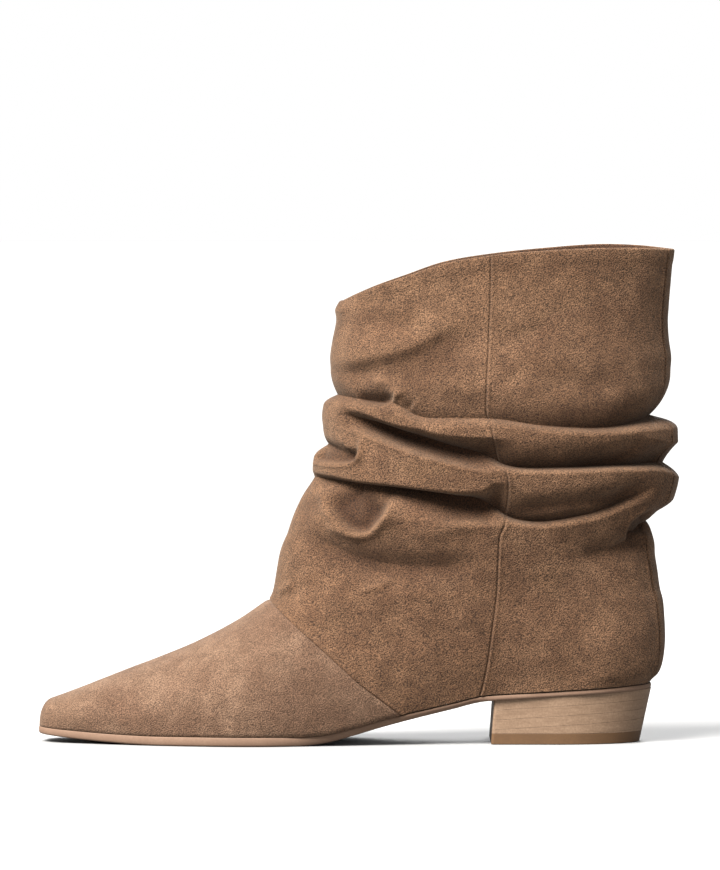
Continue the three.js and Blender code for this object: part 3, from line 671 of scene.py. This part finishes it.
def folds_at(x, z, side):
    """How deep the folds are, and how far their lips rise outwards and move towards the trough."""
    turn = turn_at(x)
    depth, rise, shift = np.zeros_like(z), np.zeros_like(z), np.zeros_like(z)
    for fold in FOLDS:
        inside = (turn * side >= fold["start"]) & (turn * side <= fold["end"])
        deepest = FOLD_DEPTH * np.where(inside, fold["depth"](turn, side), 0)
        away = z - fold["height"](turn, side) * COLLAR_HEIGHT
        above, below = FOLD_REACH * fold["above"](turn, side), FOLD_REACH * fold["below"](turn, side)
        share = np.clip(1 - np.abs(away) / np.where(away > 0, above, below), 0, 1)
        short, steep_way = np.minimum(above, below), np.where(above < below, 1, -1)
        gentle_below = smoothstep((below - above) / (below + above), -LEAN, LEAN)
        gentle = share**2 + 2 * fold["hollow"](turn, side) * share * (1 - share)
        steep = share**LIP_POWER
        form = np.where(away > 0, lerp(gentle, steep, gentle_below), lerp(steep, gentle, gentle_below))
        depth = np.maximum(depth, deepest * form)
        steepness = 1 - short / np.maximum(above, below)
        lip = np.clip(away * steep_way / short, 0, LIP_END) / LIP_PLACE
        crest = lip**2 * np.exp(2 * (1 - lip)) * deepest * steepness
        rise = rise + LIP_RISE * crest
        shift = shift - FOLD_OVERHANG * crest * steep_way
    return depth, rise, shift


# Forms of the creases and waves
def smooth_line(points):
    """A line of places closer together, with its bends rounded."""
    points = np.array(points, float)
    length = np.concatenate([[0], np.cumsum(np.linalg.norm(np.diff(points, axis=0), axis=1))])
    rows = {"at": length, "x": points[:, 0], "z": points[:, 1]}
    at = np.linspace(0, length[-1], CREASE_POINTS)
    return np.stack([column(at) for column in all_through(rows, "at", "x", "z")], axis=1)


def away_from_line(line, x, z):
    """Distance from a line, signed to be above 0 over it, and the share of the way along it."""
    best = np.full(x.shape, np.inf)
    over, along = np.zeros(x.shape), np.zeros(x.shape)
    for i in range(len(line) - 1):
        (ax, az), (bx, bz) = line[i], line[i + 1]
        run2 = (bx - ax) ** 2 + (bz - az) ** 2
        t = np.clip(((x - ax) * (bx - ax) + (z - az) * (bz - az)) / run2, 0, 1)
        dx, dz = x - lerp(ax, bx, t), z - lerp(az, bz, t)
        distance = np.hypot(dx, dz)
        nearer = distance < best
        best = np.where(nearer, distance, best)
        sign = np.sign((bz - az) * (x - ax) - (bx - ax) * (z - az))
        over = np.where(nearer, sign, over)
        along = np.where(nearer, (i + t) / (len(line) - 1), along)
    return best * over, along


def creases_at(x, z, side):
    """How deep the listed creases are."""
    depth = np.zeros_like(z)
    if side < 0:
        return depth
    for deepest, over, under, *places in CREASES:
        line = smooth_line(places)
        if line[0, 0] < line[-1, 0]:
            line = line[::-1]
        reach, short = max(over, under), min(over, under)
        low, high = line.min(axis=0) - CREASE_EDGE * reach, line.max(axis=0) + CREASE_EDGE * reach
        near = (x > low[0]) & (x < high[0]) & (z > low[1]) & (z < high[1])
        away, along = away_from_line(line, x[near], z[near])
        profile = np.exp(-((away / np.where(away > 0, over, under)) ** 2))
        beside = away * np.sign(under - over) - CREASE_RIM_PLACE * short
        rim = np.exp(-((beside / (CREASE_RIM_WIDTH * short)) ** 2))
        profile = profile - CREASE_RIM * (1 - short / reach) * rim
        fade = smoothstep(np.minimum(along, 1 - along), 0, CREASE_FADE)
        depth[near] += deepest * profile * fade
    return depth


def undulation(x, y, z):
    """Slow waves of the soft leather."""
    total = 0
    for swell, length_x, length_z, length_y, second_z, second_x, shift in zip(*WAVES.values()):
        first = np.sin(x / length_x + z / length_z + y / length_y)
        total = total + swell * (first * np.sin(z / second_z + x / second_x + shift))
    return total


# The seams
side_seam = through(SIDE_SEAM, "height", "along")
seam_behind = through(VAMP_SEAM, "height", "behind")
THROAT = float(shaft_front(THROAT_HEIGHT))


def vamp_seam(z):
    over = np.maximum(z - THROAT_HEIGHT, 0)
    return THROAT - VAMP_SEAM_RUN * seam_behind(z / THROAT_HEIGHT) + over


def vamp_step(x, z):
    ahead = x - vamp_seam(z)
    return VAMP_STEP * smoothstep(ahead, -VAMP_STEP_RUN / 2, VAMP_STEP_RUN / 2)


def seam_relief(ahead, depth, width, raised, pad):
    """A sewn seam: a groove at 0, with the raised edge of the panel behind it."""
    groove = -depth * np.exp(-((ahead / width) ** 2))
    edge = raised * np.exp(-(((ahead + pad) / pad) ** 2))
    return groove + edge


# Levels from the upper's lower edge to the collar
def collar_edge(x, side):
    front, back = shaft_front(COLLAR_HEIGHT - COLLAR_DROP), shaft_back(COLLAR_HEIGHT)
    along = np.clip((x - back) / (front - back), 0, 1)
    drop = np.where(side > 0, collar_outer(along), collar_inner(along))
    return COLLAR_HEIGHT - COLLAR_DROP * drop - WALL / 2


def flat_guide(height):
    return lambda x, side: height + 0 * x


def trough_guide(fold):
    return lambda x, side: fold["height"](turn_at(x), side) * COLLAR_HEIGHT


GUIDES = [
    lambda x, side: feather(x),
    flat_guide(THROAT_HEIGHT),
    *[trough_guide(fold) for fold in reversed(LONG_FOLDS)],
    flat_guide(SMOOTH_LEVEL * COLLAR_HEIGHT),
    collar_edge,
]


def row_places():
    """For each row of the skin, the guide below it and the share of the way to the next guide."""
    places = [(0, (i / FOOT_ROWS) ** FOOT_ROW_BIAS) for i in range(FOOT_ROWS + 1)]
    for band, count in enumerate(LEG_ROWS, start=1):
        end = LEG_STEP if band < len(LEG_ROWS) else COLLAR_STEP
        start = LEG_STEP if band > 1 else 1.0
        places += [(band, share) for share in graded(count, start, end, LEG_GROWTH)[1:]]
    band, share = np.array(places).T
    return band, share[:, None]


ROW_BAND, ROW_SHARE = row_places()


def level(x, side):
    """Height of every row at places along the foot, given as an array with a row for each."""
    z = np.empty_like(x)
    for band in range(len(GUIDES) - 1):
        rows = ROW_BAND == band
        low, high = GUIDES[band](x[rows], side), GUIDES[band + 1](x[rows], side)
        z[rows] = lerp(low, high, ROW_SHARE[rows])
    return z


def row_ends(side):
    """Where each row begins at the back, crosses the side seam, and ends in front or at the vamp."""
    centre = np.full(ROW_SHARE.shape, SHAFT_CENTRE)
    back = crossing(lambda x: x - shaft_back(level(x, side)), centre, FOOT_BACK - COUNTER_OVERHANG)
    seam = crossing(lambda x: side_seam(level(x, side)) - x, *[centre + away for away in SEAM_SEARCH])

    def short_of_end(x):
        z = level(x, side)
        return np.where(z < THROAT_HEIGHT - SMALL, vamp_seam(z) - x, shaft_front(z) - x)

    front = crossing(short_of_end, centre + FRONT_SEARCH, TOE_TIP)
    return back, seam, front


def skin(side):
    """One side of the upper's skin behind the vamp: points, ways out, and what the materials read."""
    back, seam, front = row_ends(side)
    at_seam = np.arccos(1 - 2 * (seam - back) / (front - back)) / np.pi
    first = BACK_SEAM_PLACE * graded(BACK_COLUMNS, 1, SEAM_STEP)
    rear = lerp(BACK_SEAM_PLACE, at_seam, graded(REAR_COLUMNS, SEAM_STEP, SIDE_STEP)[1:])
    fore = lerp(at_seam, 1.0, graded(FRONT_COLUMNS, SIDE_STEP, FRONT_STEP)[1:])
    places = np.concatenate([np.tile(first, (len(ROW_BAND), 1)), rear, fore], axis=1)
    x = back + (front - back) * (1 - np.cos(np.pi * places)) / 2
    z = level(x, side)
    y = side * half_width(x, z, side)
    y[:, 0] = 0
    closed = ROW_BAND > 0
    y[closed, -1] = 0

    out_x, out_y = outwards(x, y, side)
    out_x[:, 0], out_y[:, 0] = -1, 0
    out_x[closed, -1], out_y[closed, -1] = 1, 0

    depth, rise, shift = folds_at(x, z, side)
    pressed = creases_at(x, z, side) * smoothstep(np.abs(y), 0, CREASE_CLEAR)
    seam_away = (places - at_seam) * (front - back) * np.pi / 2 * np.sin(np.pi * at_seam)
    vamp_away = x - vamp_seam(z)
    out = vamp_step(x, z) - depth + rise - pressed + undulation(x, y, z)
    out = out + seam_relief(seam_away, *SIDE_SEAM_FORM) + seam_relief(vamp_away, *VAMP_SEAM_FORM)
    out = out + HEM_STEP * (1 - smoothstep(collar_edge(x, side) - z, *HEM_LINE))
    seams = np.minimum(np.abs(seam_away), np.abs(vamp_away))
    if side > 0:
        back_away = (places - BACK_SEAM_PLACE) * BACK_SEAM_SCALE
        out = out + seam_relief(-back_away, *BACK_SEAM_FORM)
        seams = np.minimum(seams, np.abs(back_away))
    plain = depth + LINING_PRESS * np.maximum(pressed, 0)
    # Shares for painted shade in the folds and creases, and for a painted highlight on the fold lips and
    # raised ridges
    crease_shade = depth / FOLD_DEPTH + np.maximum(pressed, 0) / CREASE_FULL
    crest = rise / (LIP_RISE * LIP_FULL) + np.maximum(-pressed, 0) / RIDGE_FULL
    return {
        "points": np.stack([x + out_x * out, y + out_y * out, z + shift], axis=2),
        "out": np.stack([out_x, out_y, 0 * out_x], axis=2),
        "plain": np.stack([x - out_x * plain, y - out_y * plain, z], axis=2),
        "read": np.stack([np.clip(crease_shade, 0, 1), np.clip(crest, 0, 1), np.clip(seams, 0, SEAM_FAR)], axis=2),
    }


# Meshes
def as_object(name, data):
    made = bpy.data.objects.new(name, data)
    bpy.context.scene.collection.objects.link(made)
    return made


def new_piece(name, points, faces, material, attributes=None):
    """A smooth mesh object from points in millimetres, with point attributes for its material."""
    mesh = bpy.data.meshes.new(name)
    mesh.from_pydata((np.asarray(points).reshape(-1, 3) * MM).tolist(), [], faces)
    for key, values in (attributes or {}).items():
        attribute = mesh.attributes.new(key, "FLOAT", "POINT")
        attribute.data.foreach_set("value", np.asarray(values, float).ravel())
    mesh.polygons.foreach_set("use_smooth", [True] * len(mesh.polygons))
    mesh.update()
    mesh.materials.append(material)
    return as_object(name, mesh)


def grid_faces(rows, columns, flip=False, wrapped=False):
    """Quads of a grid of points, facing out where the rows rise and the columns turn left."""
    faces = []
    for i in range(rows - 1):
        for k in range(columns if wrapped else columns - 1):
            a, b = i * columns + k, i * columns + (k + 1) % columns
            quad = (a, b, b + columns, a + columns)
            faces.append(quad[::-1] if flip else quad)
    return faces


def sheet(name, points, material, attributes=None, flip=False):
    """A piece from a grid of points, with those that lie in the same place joined."""
    piece = new_piece(name, points, grid_faces(*points.shape[:2], flip=flip), material, attributes)
    work = bmesh.new()
    work.from_mesh(piece.data)
    bmesh.ops.remove_doubles(work, verts=work.verts, dist=SMALL)
    bmesh.ops.dissolve_degenerate(work, dist=SMALL, edges=work.edges)
    work.to_mesh(piece.data)
    work.free()
    return piece


def with_rim_and_hem(part):
    """A skin's points and what is read there, with a rolled collar edge and its hem, and a foot edge."""
    points, out, read = part["points"].copy(), part["out"], part["read"]
    edge, radius = points[-1], WALL / 2
    up = unit(edge - points[-3])
    centre = edge - out[-1] * radius
    angles = np.linspace(0, np.pi, RIM_TURNS)[1:]
    rim = [centre + radius * (out[-1] * math.cos(a) + up * math.sin(a)) for a in angles]
    drop = (edge - points)[..., 2].max(axis=1)
    hem_rows = np.flatnonzero((drop > HEM_ROWS[0]) & (drop < HEM_ROWS[1]))[::-1]
    inside = [points[row] - out[row] * (WALL + HEM_DOUBLE) for row in hem_rows]
    turned = inside[::2] + [inside[-1] + out[-1] * HEM_RETURN]
    foot = [points[0] - out[0] * WALL, points[0] - out[0] * FOOT_TURN]
    points[0, :, 2] += FOOT_RAISE
    # Rim and hem rows copy the edge's reads, and the inner hem gets painted shade where it turns into the
    # collar
    added = np.repeat(read[-1:], len(rim + turned), axis=0)
    inwards = smoothstep(np.arange(len(added)), RIM_TURNS / 2 - 1, RIM_TURNS - 2)
    added[..., READ.index("crease_shade")] += HEM_SHADE * inwards[:, None]
    rows = np.concatenate([foot, points, rim, turned])
    return np.concatenate([rows, np.concatenate([read[[0, 0]], read, added])], axis=2)


def panel(name, strips, material):
    """One panel of the skin, from strips of columns that go round it to the left, seen from above."""
    rows = np.concatenate(strips, axis=1)
    attributes = {key: rows[..., 3 + i] for i, key in enumerate(READ)}
    return sheet(name, rows[..., :3], material, attributes)


def lining(skins, material):
    """The lining, inside the folds of the upper and a little below its collar."""
    outer, inner = [(part["plain"] - part["out"] * LINING_DEPTH)[::2, ::2] for part in skins]
    points = np.concatenate([inner, outer[:, ::-1]], axis=1)[:-2]
    return sheet("lining", points, material, flip=True)


# The vamp, in sections across the foot that run from its seam to the toe
def vamp_points():
    turn = np.linspace(0, np.pi, VAMP_ROWS + 1)[:, None]
    side = np.where(turn <= np.pi / 2, 1, -1)

    def height(x):
        low, power = feather(x), 2 / roundness(along_foot(x))
        return low + (foot_top(x) - low) * np.abs(np.sin(turn)) ** power

    def short_of_seam(x):
        return vamp_seam(np.minimum(height(x), THROAT_HEIGHT)) - x

    start = crossing(short_of_seam, 0 * turn + VAMP_SEARCH, TOE_TIP - VAMP_SEARCH)
    along = 1 - (1 - graded(VAMP_COLUMNS, SEAM_STEP, 1.0)) ** VAMP_BIAS
    x = lerp(start, TOE_TIP, along[None, :])
    z = height(x)
    y = side * half_width(x, z, side)
    y[VAMP_ROWS // 2] = 0
    y[:, -1] = 0
    points = np.stack([x, y, z], axis=2)
    normal = unit(np.cross(np.gradient(points, axis=0), np.gradient(points, axis=1)))
    normal[:, -2:] = np.array([1.0, 0, 0])
    ahead = x - vamp_seam(np.minimum(z, THROAT_HEIGHT))
    calm = smoothstep(TOE_TIP - x, *VAMP_CALM)
    out = vamp_step(x, z - JUST_UNDER) + undulation(x, y, z) * VAMP_WAVES * calm
    out = out + seam_relief(ahead, *VAMP_EDGE_FORM)
    points = points + normal * out[..., None]
    return points, unit(normal * (1, 1, 0)), np.clip(np.abs(ahead), 0, SEAM_FAR)


def turned_in(edge, out):
    """Two rows that turn a foot edge in: one just inside and under it, then one at the wall's inner face."""
    near = edge - out * EDGE_TURN
    near[..., 2] -= EDGE_DROP
    return [near, edge - out * WALL]


def vamp(material):
    points, out, seam = vamp_points()
    below, behind = turned_in(points[:1], out[:1])[::-1], turned_in(points[-1:], out[-1:])
    rows = np.concatenate([*below, points, *behind])
    seams = np.pad(seam, ((2, 2), (0, 0)), mode="edge")
    return sheet("vamp", rows, material, {"seam": seams}, flip=True)


# The sole and the insole, from the outline of the upper's lower edge
def sole_outline(offset):
    """The outline at the feather line, moved out by an offset, as outer and inner halves to the toe."""
    share = (1 - np.cos(np.pi * np.linspace(0, 1, SOLE_POINTS))) / 2
    back = float(crossing(lambda x: x - shaft_back(feather(x)), SHAFT_CENTRE, FOOT_BACK - COUNTER_OVERHANG))
    x = lerp(back, TOE_TIP, share)
    halves = []
    offset = offset(x) if callable(offset) else offset
    for side in (1, -1):
        y = side * half_width(x, feather(x), side)
        y[[0, -1]] = 0
        out_x, out_y = outwards(x, y, side)
        out_x[0], out_y[0], out_x[-1], out_y[-1] = -1, 0, 1, 0
        halves.append(np.stack([x + out_x * offset, y + out_y * offset], axis=1))
    return halves


def slab(name, steps, material):
    """A closed slab from steps of offset and height round the outline, from its bottom to its top."""
    rings = []
    for offset, height in steps:
        outer, inner = sole_outline(offset)
        ring = np.concatenate([outer, inner[-2:0:-1]])
        rings.append(np.column_stack([ring, height(ring[:, 0])]))
    points = np.stack(rings)
    rows, count = points.shape[:2]
    faces = grid_faces(rows, count, flip=True, wrapped=True)
    for row, facing in ((0, -1), (rows - 1, 1)):
        start = row * count
        for k in range(SOLE_POINTS - 1):
            quad = [k, k + 1, (count - k - 1) % count, (count - k) % count]
            quad = [start + i for i in dict.fromkeys(quad)]
            faces.append(quad[::-1] if facing > 0 else quad)
    return new_piece(name, points, faces, material)


def outsole(material):
    margin, bevel, edge = SOLE_MARGIN, SOLE_BEVEL, SOLE_EDGE

    def tucked(offset, share):
        """An offset that draws in behind the tread, and leans in further down under the waist."""
        def at(x):
            behind = smoothstep(TREAD_START - x, *TUCK_RUN)
            waist = behind * smoothstep(x, HEEL_BREAST, HEEL_BREAST + WAIST_RUN)
            seat = lerp(SEAT_TUCK, 1, smoothstep(x, SEAT_BACK, SEAT_BACK + SEAT_RUN))
            return offset - SOLE_TUCK * behind * seat - WAIST_LEAN * share * waist

        return at

    steps = [
        (tucked(margin - bevel - SOLE_INSIDE, 1), sole_bottom),
        (tucked(margin - bevel, 1), sole_bottom),
        (tucked(margin - bevel * BEVEL_SHARE, 1), lambda x: sole_bottom(x) + bevel * BEVEL_SHARE),
        (tucked(margin, 0.8), lambda x: sole_bottom(x) + bevel),
        (tucked(margin + SOLE_SWELL, 0.4), lambda x: lerp(sole_bottom(x), sole_top(x), 0.5)),
        (tucked(margin, 0), lambda x: sole_top(x) - edge),
        (tucked(margin - edge * BEVEL_SHARE, 0), lambda x: sole_top(x) - edge * BEVEL_SHARE),
        (tucked(margin - edge, 0), sole_top),
        (tucked(margin - edge - SOLE_INSIDE, 0), sole_top),
    ]
    return slab("sole_leather", steps, material)


def insole(material):
    inset, bevel = -(WALL + INSOLE_CLEARANCE), INSOLE_BEVEL
    steps = [
        (inset, feather),
        (inset, lambda x: feather(x) + INSOLE_THICKNESS - bevel),
        (inset - bevel * BEVEL_SHARE, lambda x: feather(x) + INSOLE_THICKNESS - bevel * BEVEL_SHARE),
        (inset - bevel, lambda x: feather(x) + INSOLE_THICKNESS),
        (inset - INSOLE_INSIDE, lambda x: feather(x) + INSOLE_THICKNESS + INSOLE_CROWN),
    ]
    return slab("sock_lining", steps, material)


# The heel
def heel_outline(z):
    """Outline of the heel at a height: straight across the breast and round at the back."""
    share = z / HEEL_HEIGHT
    back = -HEEL_BASE_LENGTH / 2 - HEEL_BACK_SLANT * share
    breast = lerp(HEEL_BASE_LENGTH / 2, HEEL_BREAST, share)
    half = lerp(HEEL_BASE_WIDTH, HEEL_TOP_WIDTH, share) / 2
    angle = np.linspace(0, np.pi / 2, HEEL_POINTS // 2)
    x = lerp(HEEL_STRAIGHT * HEEL_BASE_LENGTH, back, np.cos(angle) ** HEEL_POWER)
    y = half * np.sin(angle) ** HEEL_POWER
    turn = np.linspace(0, np.pi / 2, CORNER_POINTS)
    x = np.concatenate([x, breast - HEEL_CORNER + HEEL_CORNER * np.sin(turn)])
    y = np.concatenate([y, half * HEEL_BREAST_WIDTH - HEEL_CORNER + HEEL_CORNER * np.cos(turn)])
    ring_x, ring_y = np.concatenate([x, x[:0:-1]]), np.concatenate([y, -y[:0:-1]])
    return np.stack([ring_x, ring_y, np.full(len(ring_x), z)], axis=1)


def heel_block(low, high):
    rings = np.concatenate([heel_outline(low), heel_outline(high)])
    count = len(rings) // 2
    work = bmesh.new()
    verts = [work.verts.new(p * MM) for p in rings]
    for k in range(count):
        after = (k + 1) % count
        work.faces.new([verts[k], verts[k + count], verts[after + count], verts[after]])
    work.faces.new(verts[:count])
    work.faces.new(verts[count:][::-1])
    return work


def cut(work, point, normal):
    """Takes away what lies past a plane and closes the cut."""
    parts = list(work.verts) + list(work.edges) + list(work.faces)
    bmesh.ops.bisect_plane(work, geom=parts, plane_co=point, plane_no=normal, clear_outer=True)
    open_edges = [e for e in work.edges if e.is_boundary]
    if open_edges:
        bmesh.ops.holes_fill(work, edges=open_edges)


def finish_block(name, work, bevel, material):
    bmesh.ops.recalc_face_normals(work, faces=work.faces)
    sharp = [e for e in work.edges if e.calc_face_angle(0) > BEVEL_FROM]
    rounding = {"segments": 2, "affect": "EDGES", "profile": 0.5, "clamp_overlap": True}
    bmesh.ops.bevel(work, geom=sharp, offset=bevel * MM, **rounding)
    mesh = bpy.data.meshes.new(name)
    work.to_mesh(mesh)
    work.free()
    mesh.polygons.foreach_set("use_smooth", [True] * len(mesh.polygons))
    mesh.set_sharp_from_angle(angle=SHARP_FROM)
    mesh.materials.append(material)
    return as_object(name, mesh)


def heel_pieces(stacked, rubber):
    """The stacked lifts, cut by planes that lie parallel to the seat, and the flat top lift."""
    peak = float(seat_line(SEAT_BACK))
    tilt = Vector((SEAT_SLOPE, 0, 1)).normalized()
    count = math.ceil((peak - TOP_LIFT_THICKNESS) / LIFT_THICKNESS)
    pieces = []
    for i in range(count):
        work = heel_block(TOP_LIFT_THICKNESS, peak)
        top = HEEL_HEIGHT - LIFT_SEAM - LIFT_THICKNESS * i
        cut(work, Vector((0, 0, top * MM)), tilt)
        cut(work, Vector((0, 0, (top - LIFT_THICKNESS + LIFT_SEAM) * MM)), -tilt)
        piece = finish_block(f"lift_{i + 1}", work, LIFT_BEVEL, stacked)
        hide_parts(f"heel_lift_{i + 1}")
        pieces.append(piece)
    block = heel_block(0, TOP_LIFT_THICKNESS - LIFT_SEAM)
    top_lift = finish_block("top_lift_rubber", block, TOP_LIFT_BEVEL, rubber)
    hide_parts("top_lift")
    return pieces + [top_lift]


# Materials
class Look:
    """A material with its nodes, made line by line."""

    def __init__(self, name, inputs):
        self.material = bpy.data.materials.new(name)
        self.material.use_nodes = True
        self.tree = self.material.node_tree
        self.shader = self.tree.nodes["Principled BSDF"]
        for key, value in inputs.items():
            self.shader.inputs[key].default_value = value
        self.place = self.tree.nodes.new("ShaderNodeTexCoord").outputs["Object"]

    def node(self, kind, inputs=None, **settings):
        made = self.tree.nodes.new(kind)
        for key, value in settings.items():
            setattr(made, key, value)
        for key, value in (inputs or {}).items():
            if isinstance(value, bpy.types.NodeSocket):
                self.tree.links.new(value, made.inputs[key])
            else:
                made.inputs[key].default_value = value
        return made

    def noise(self, size, detail=2.0, roughness=0.5, stretch=None):
        """Noise with features of about a size in millimetres."""
        vector = self.place
        if stretch:
            vector = self.node("ShaderNodeMapping", {"Vector": vector, "Scale": stretch}).outputs[0]
        values = {"Vector": vector, "Scale": 1 / (size * MM), "Detail": detail, "Roughness": roughness}
        return self.node("ShaderNodeTexNoise", values).outputs["Fac"]

    def spread(self, value, low, high, to_low=0.0, to_high=1.0):
        values = {"Value": value, "From Min": low, "From Max": high, "To Min": to_low, "To Max": to_high}
        return self.node("ShaderNodeMapRange", values).outputs[0]

    def attribute(self, name):
        return self.node("ShaderNodeAttribute", attribute_name=name).outputs["Fac"]

    def mix(self, share, a, b, way="MIX"):
        """A mix of two colours; these are the node's sockets for a share and two colours."""
        return self.node("ShaderNodeMix", {0: share, 6: a, 7: b}, data_type="RGBA", blend_type=way).outputs[2]

    def bump(self, height, distance, under=None):
        values = {"Height": height, "Distance": distance * MM, "Strength": 1.0}
        if under is not None:
            values["Normal"] = under
        return self.node("ShaderNodeBump", values).outputs[0]

    def finish(self, colour, normal):
        self.tree.links.new(colour, self.shader.inputs["Base Color"])
        self.tree.links.new(normal, self.shader.inputs["Normal"])
        return self.material


def rgb(red, green, blue):
    """A colour as the eye reads it, from 0 to 255, for a shader."""
    def linear(value):
        share = value / 255
        return share / 12.92 if share <= 0.04045 else ((share + 0.055) / 1.055) ** 2.4

    return (linear(red), linear(green), linear(blue), 1.0)


def grey(value):
    return (value, value, value, 1.0)


def suede(name, base, light, dark, grain, paint_fold_shading=True):
    sheen = {"Sheen Weight": 0.07, "Sheen Roughness": 0.5, "Sheen Tint": rgb(225, 200, 175)}
    look = Look(name, {"Roughness": 0.92, "Specular IOR Level": 0.1, **sheen})
    patches = look.spread(look.noise(24, 3, 0.6), 0.38, 0.62)
    blots = look.spread(look.noise(8.5, 3, 0.6), 0.38, 0.62)
    speckle = look.spread(look.noise(0.56, 1, 0.6), 0.3, 0.7)
    pores = look.spread(look.noise(1.7, 1, 0.5), 0.3, 0.42, 0.1, 0.0)
    colour = look.mix(patches, base, light)
    colour = look.mix(look.spread(blots, 0, 1, 0.0, 0.4), colour, dark)
    colour = look.mix(pores, colour, dark)
    # Painted shade in the folds and creases, and a painted highlight on the fold lips and ridges
    if paint_fold_shading:
        colour = look.mix(look.spread(look.attribute("crease_shade"), 0, 0.9, 0.0, 0.9), colour, dark)
        colour = look.mix(look.spread(look.attribute("crest"), 0, 1, 0.0, 0.3), colour, light)
    # Darker along the seams: the seam's dark line, with painted shade of its groove
    colour = look.mix(look.spread(look.attribute("seam"), 0.1, 0.5, 0.4, 0.0), colour, dark)
    lit = look.mix(speckle, grey(1 - grain), grey(1 + grain))
    colour = look.mix(1.0, colour, lit, "MULTIPLY")
    normal = look.bump(blots, 0.15)
    normal = look.bump(speckle, 0.22, normal)
    return look.finish(colour, normal)


def leather(name, base, dark, roughness, fibre=None):
    look = Look(name, {"Roughness": roughness, "Specular IOR Level": 0.2})
    cloud = look.spread(look.noise(9, 3, 0.6, fibre), 0.35, 0.65, 0.0, 0.5)
    fine = look.noise(0.8, 3, 0.6)
    colour = look.mix(cloud, base, dark)
    colour = look.mix(look.spread(fine, 0.35, 0.65, 0.0, 0.6), colour, dark)
    return look.finish(colour, look.bump(fine, 0.05))


def make_looks():
    layered = (1.0, 1.0, 6.0)
    return {
        "shaft": suede("suede_shaft", rgb(56, 39, 26), rgb(65, 47, 33), rgb(31, 17, 8), 0.78),
        "vamp": suede("suede_vamp", rgb(59, 43, 32), rgb(69, 53, 41), rgb(43, 29, 19), 0.56, paint_fold_shading=False),
        "lining": leather("lining_leather", rgb(81, 64, 50), rgb(65, 50, 39), 0.6),
        "sole": leather("sole_edge", rgb(82, 64, 51), rgb(70, 52, 40), 0.8),
        "sock": leather("sock_leather", rgb(85, 69, 55), rgb(69, 53, 42), 0.6),
        "stacked": leather("stacked_edge", rgb(95, 77, 61), rgb(70, 53, 39), 0.7, layered),
        "rubber": leather("top_lift_edge", rgb(64, 44, 24), rgb(54, 36, 19), 0.7),
    }


# The whole boot
looks = make_looks()
skins = (skin(1), skin(-1))
outer, inner = [with_rim_and_hem(part) for part in skins]
at_back, at_side = BACK_COLUMNS, BACK_COLUMNS + REAR_COLUMNS
panels = {
    "front_panel": [inner[:, at_side:], outer[:, at_side:][:, ::-1]],
    "back_panel_outer": [outer[:, at_back : at_side + 1][:, ::-1]],
    "back_panel_inner": [outer[:, : at_back + 1][:, ::-1], inner[:, : at_side + 1]],
}
upper_pieces = [panel(name, strips, looks["shaft"]) for name, strips in panels.items()]
upper_pieces += [vamp(looks["vamp"]), lining(skins, looks["lining"])]
for piece in upper_pieces:
    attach(piece, "root")
    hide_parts("upper")

sole_piece, sock_piece = outsole(looks["sole"]), insole(looks["sock"])
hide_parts("outsole")
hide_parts("insole")
for piece in [sole_piece, sock_piece] + heel_pieces(looks["stacked"], looks["rubber"]):
    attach(piece, "root")


# Studio
def aimed(name, data, place, target, **settings):
    """An object for a light or a camera with its settings, at a place and turned to a target."""
    for key, value in settings.items():
        setattr(data, key, value)
    made = as_object(name, data)
    made.location = place
    made.rotation_euler = (Vector(target) - Vector(place)).to_track_quat("-Z", "Y").to_euler()
    return made


def light(name, kind, place, target, **settings):
    aimed(name, bpy.data.lights.new(name, kind), place, target, **settings)


def studio():
    scene = bpy.context.scene
    world = bpy.data.worlds.new("studio")
    scene.world = world
    world.use_nodes = True
    background = world.node_tree.nodes["Background"]
    background.inputs["Color"].default_value = grey(1.0)
    background.inputs["Strength"].default_value = 1.0
    scene.view_settings.view_transform = "Standard"

    floor_look = Look("floor", {"Roughness": 0.6})
    white = floor_look.mix(floor_look.noise(400, 1), grey(FLOOR_SHADES[0]), grey(FLOOR_SHADES[1]))
    floor_look.finish(white, floor_look.bump(floor_look.noise(3, 1), 0.01))
    corners = [(x * FLOOR_REACH, y * FLOOR_REACH, 0) for x, y in ((-1, -1), (1, -1), (1, 1), (-1, 1))]
    floor = new_piece("floor", corners, [(0, 1, 2, 3)], floor_look.material)
    floor.location.z = -FLOOR_DROP

    sun = {"energy": 30.0, "angle": math.radians(37), "color": (1.0, 0.98, 0.95)}
    light("key", "SUN", (0.48, 0.48, 0.84), (0, 0, 0), **sun)
    light("fill", "AREA", (-0.9, 1.6, 0.6), (0.09, 0, 0.1), shape="DISK", size=0.9, energy=6)
    light("floor_fill", "AREA", (0, -1.3, 0.9), (-0.02, -0.05, 0), shape="DISK", size=1.2, energy=20)


def photo_camera():
    data = bpy.data.cameras.new("camera")
    lens = {"lens": LENS, "sensor_width": SENSOR_WIDTH, "clip_end": CAMERA_SEES}
    camera = aimed("camera", data, CAMERA_PLACE, CAMERA_TARGET, **lens)
    bpy.context.scene.camera = camera


studio()
photo_camera()
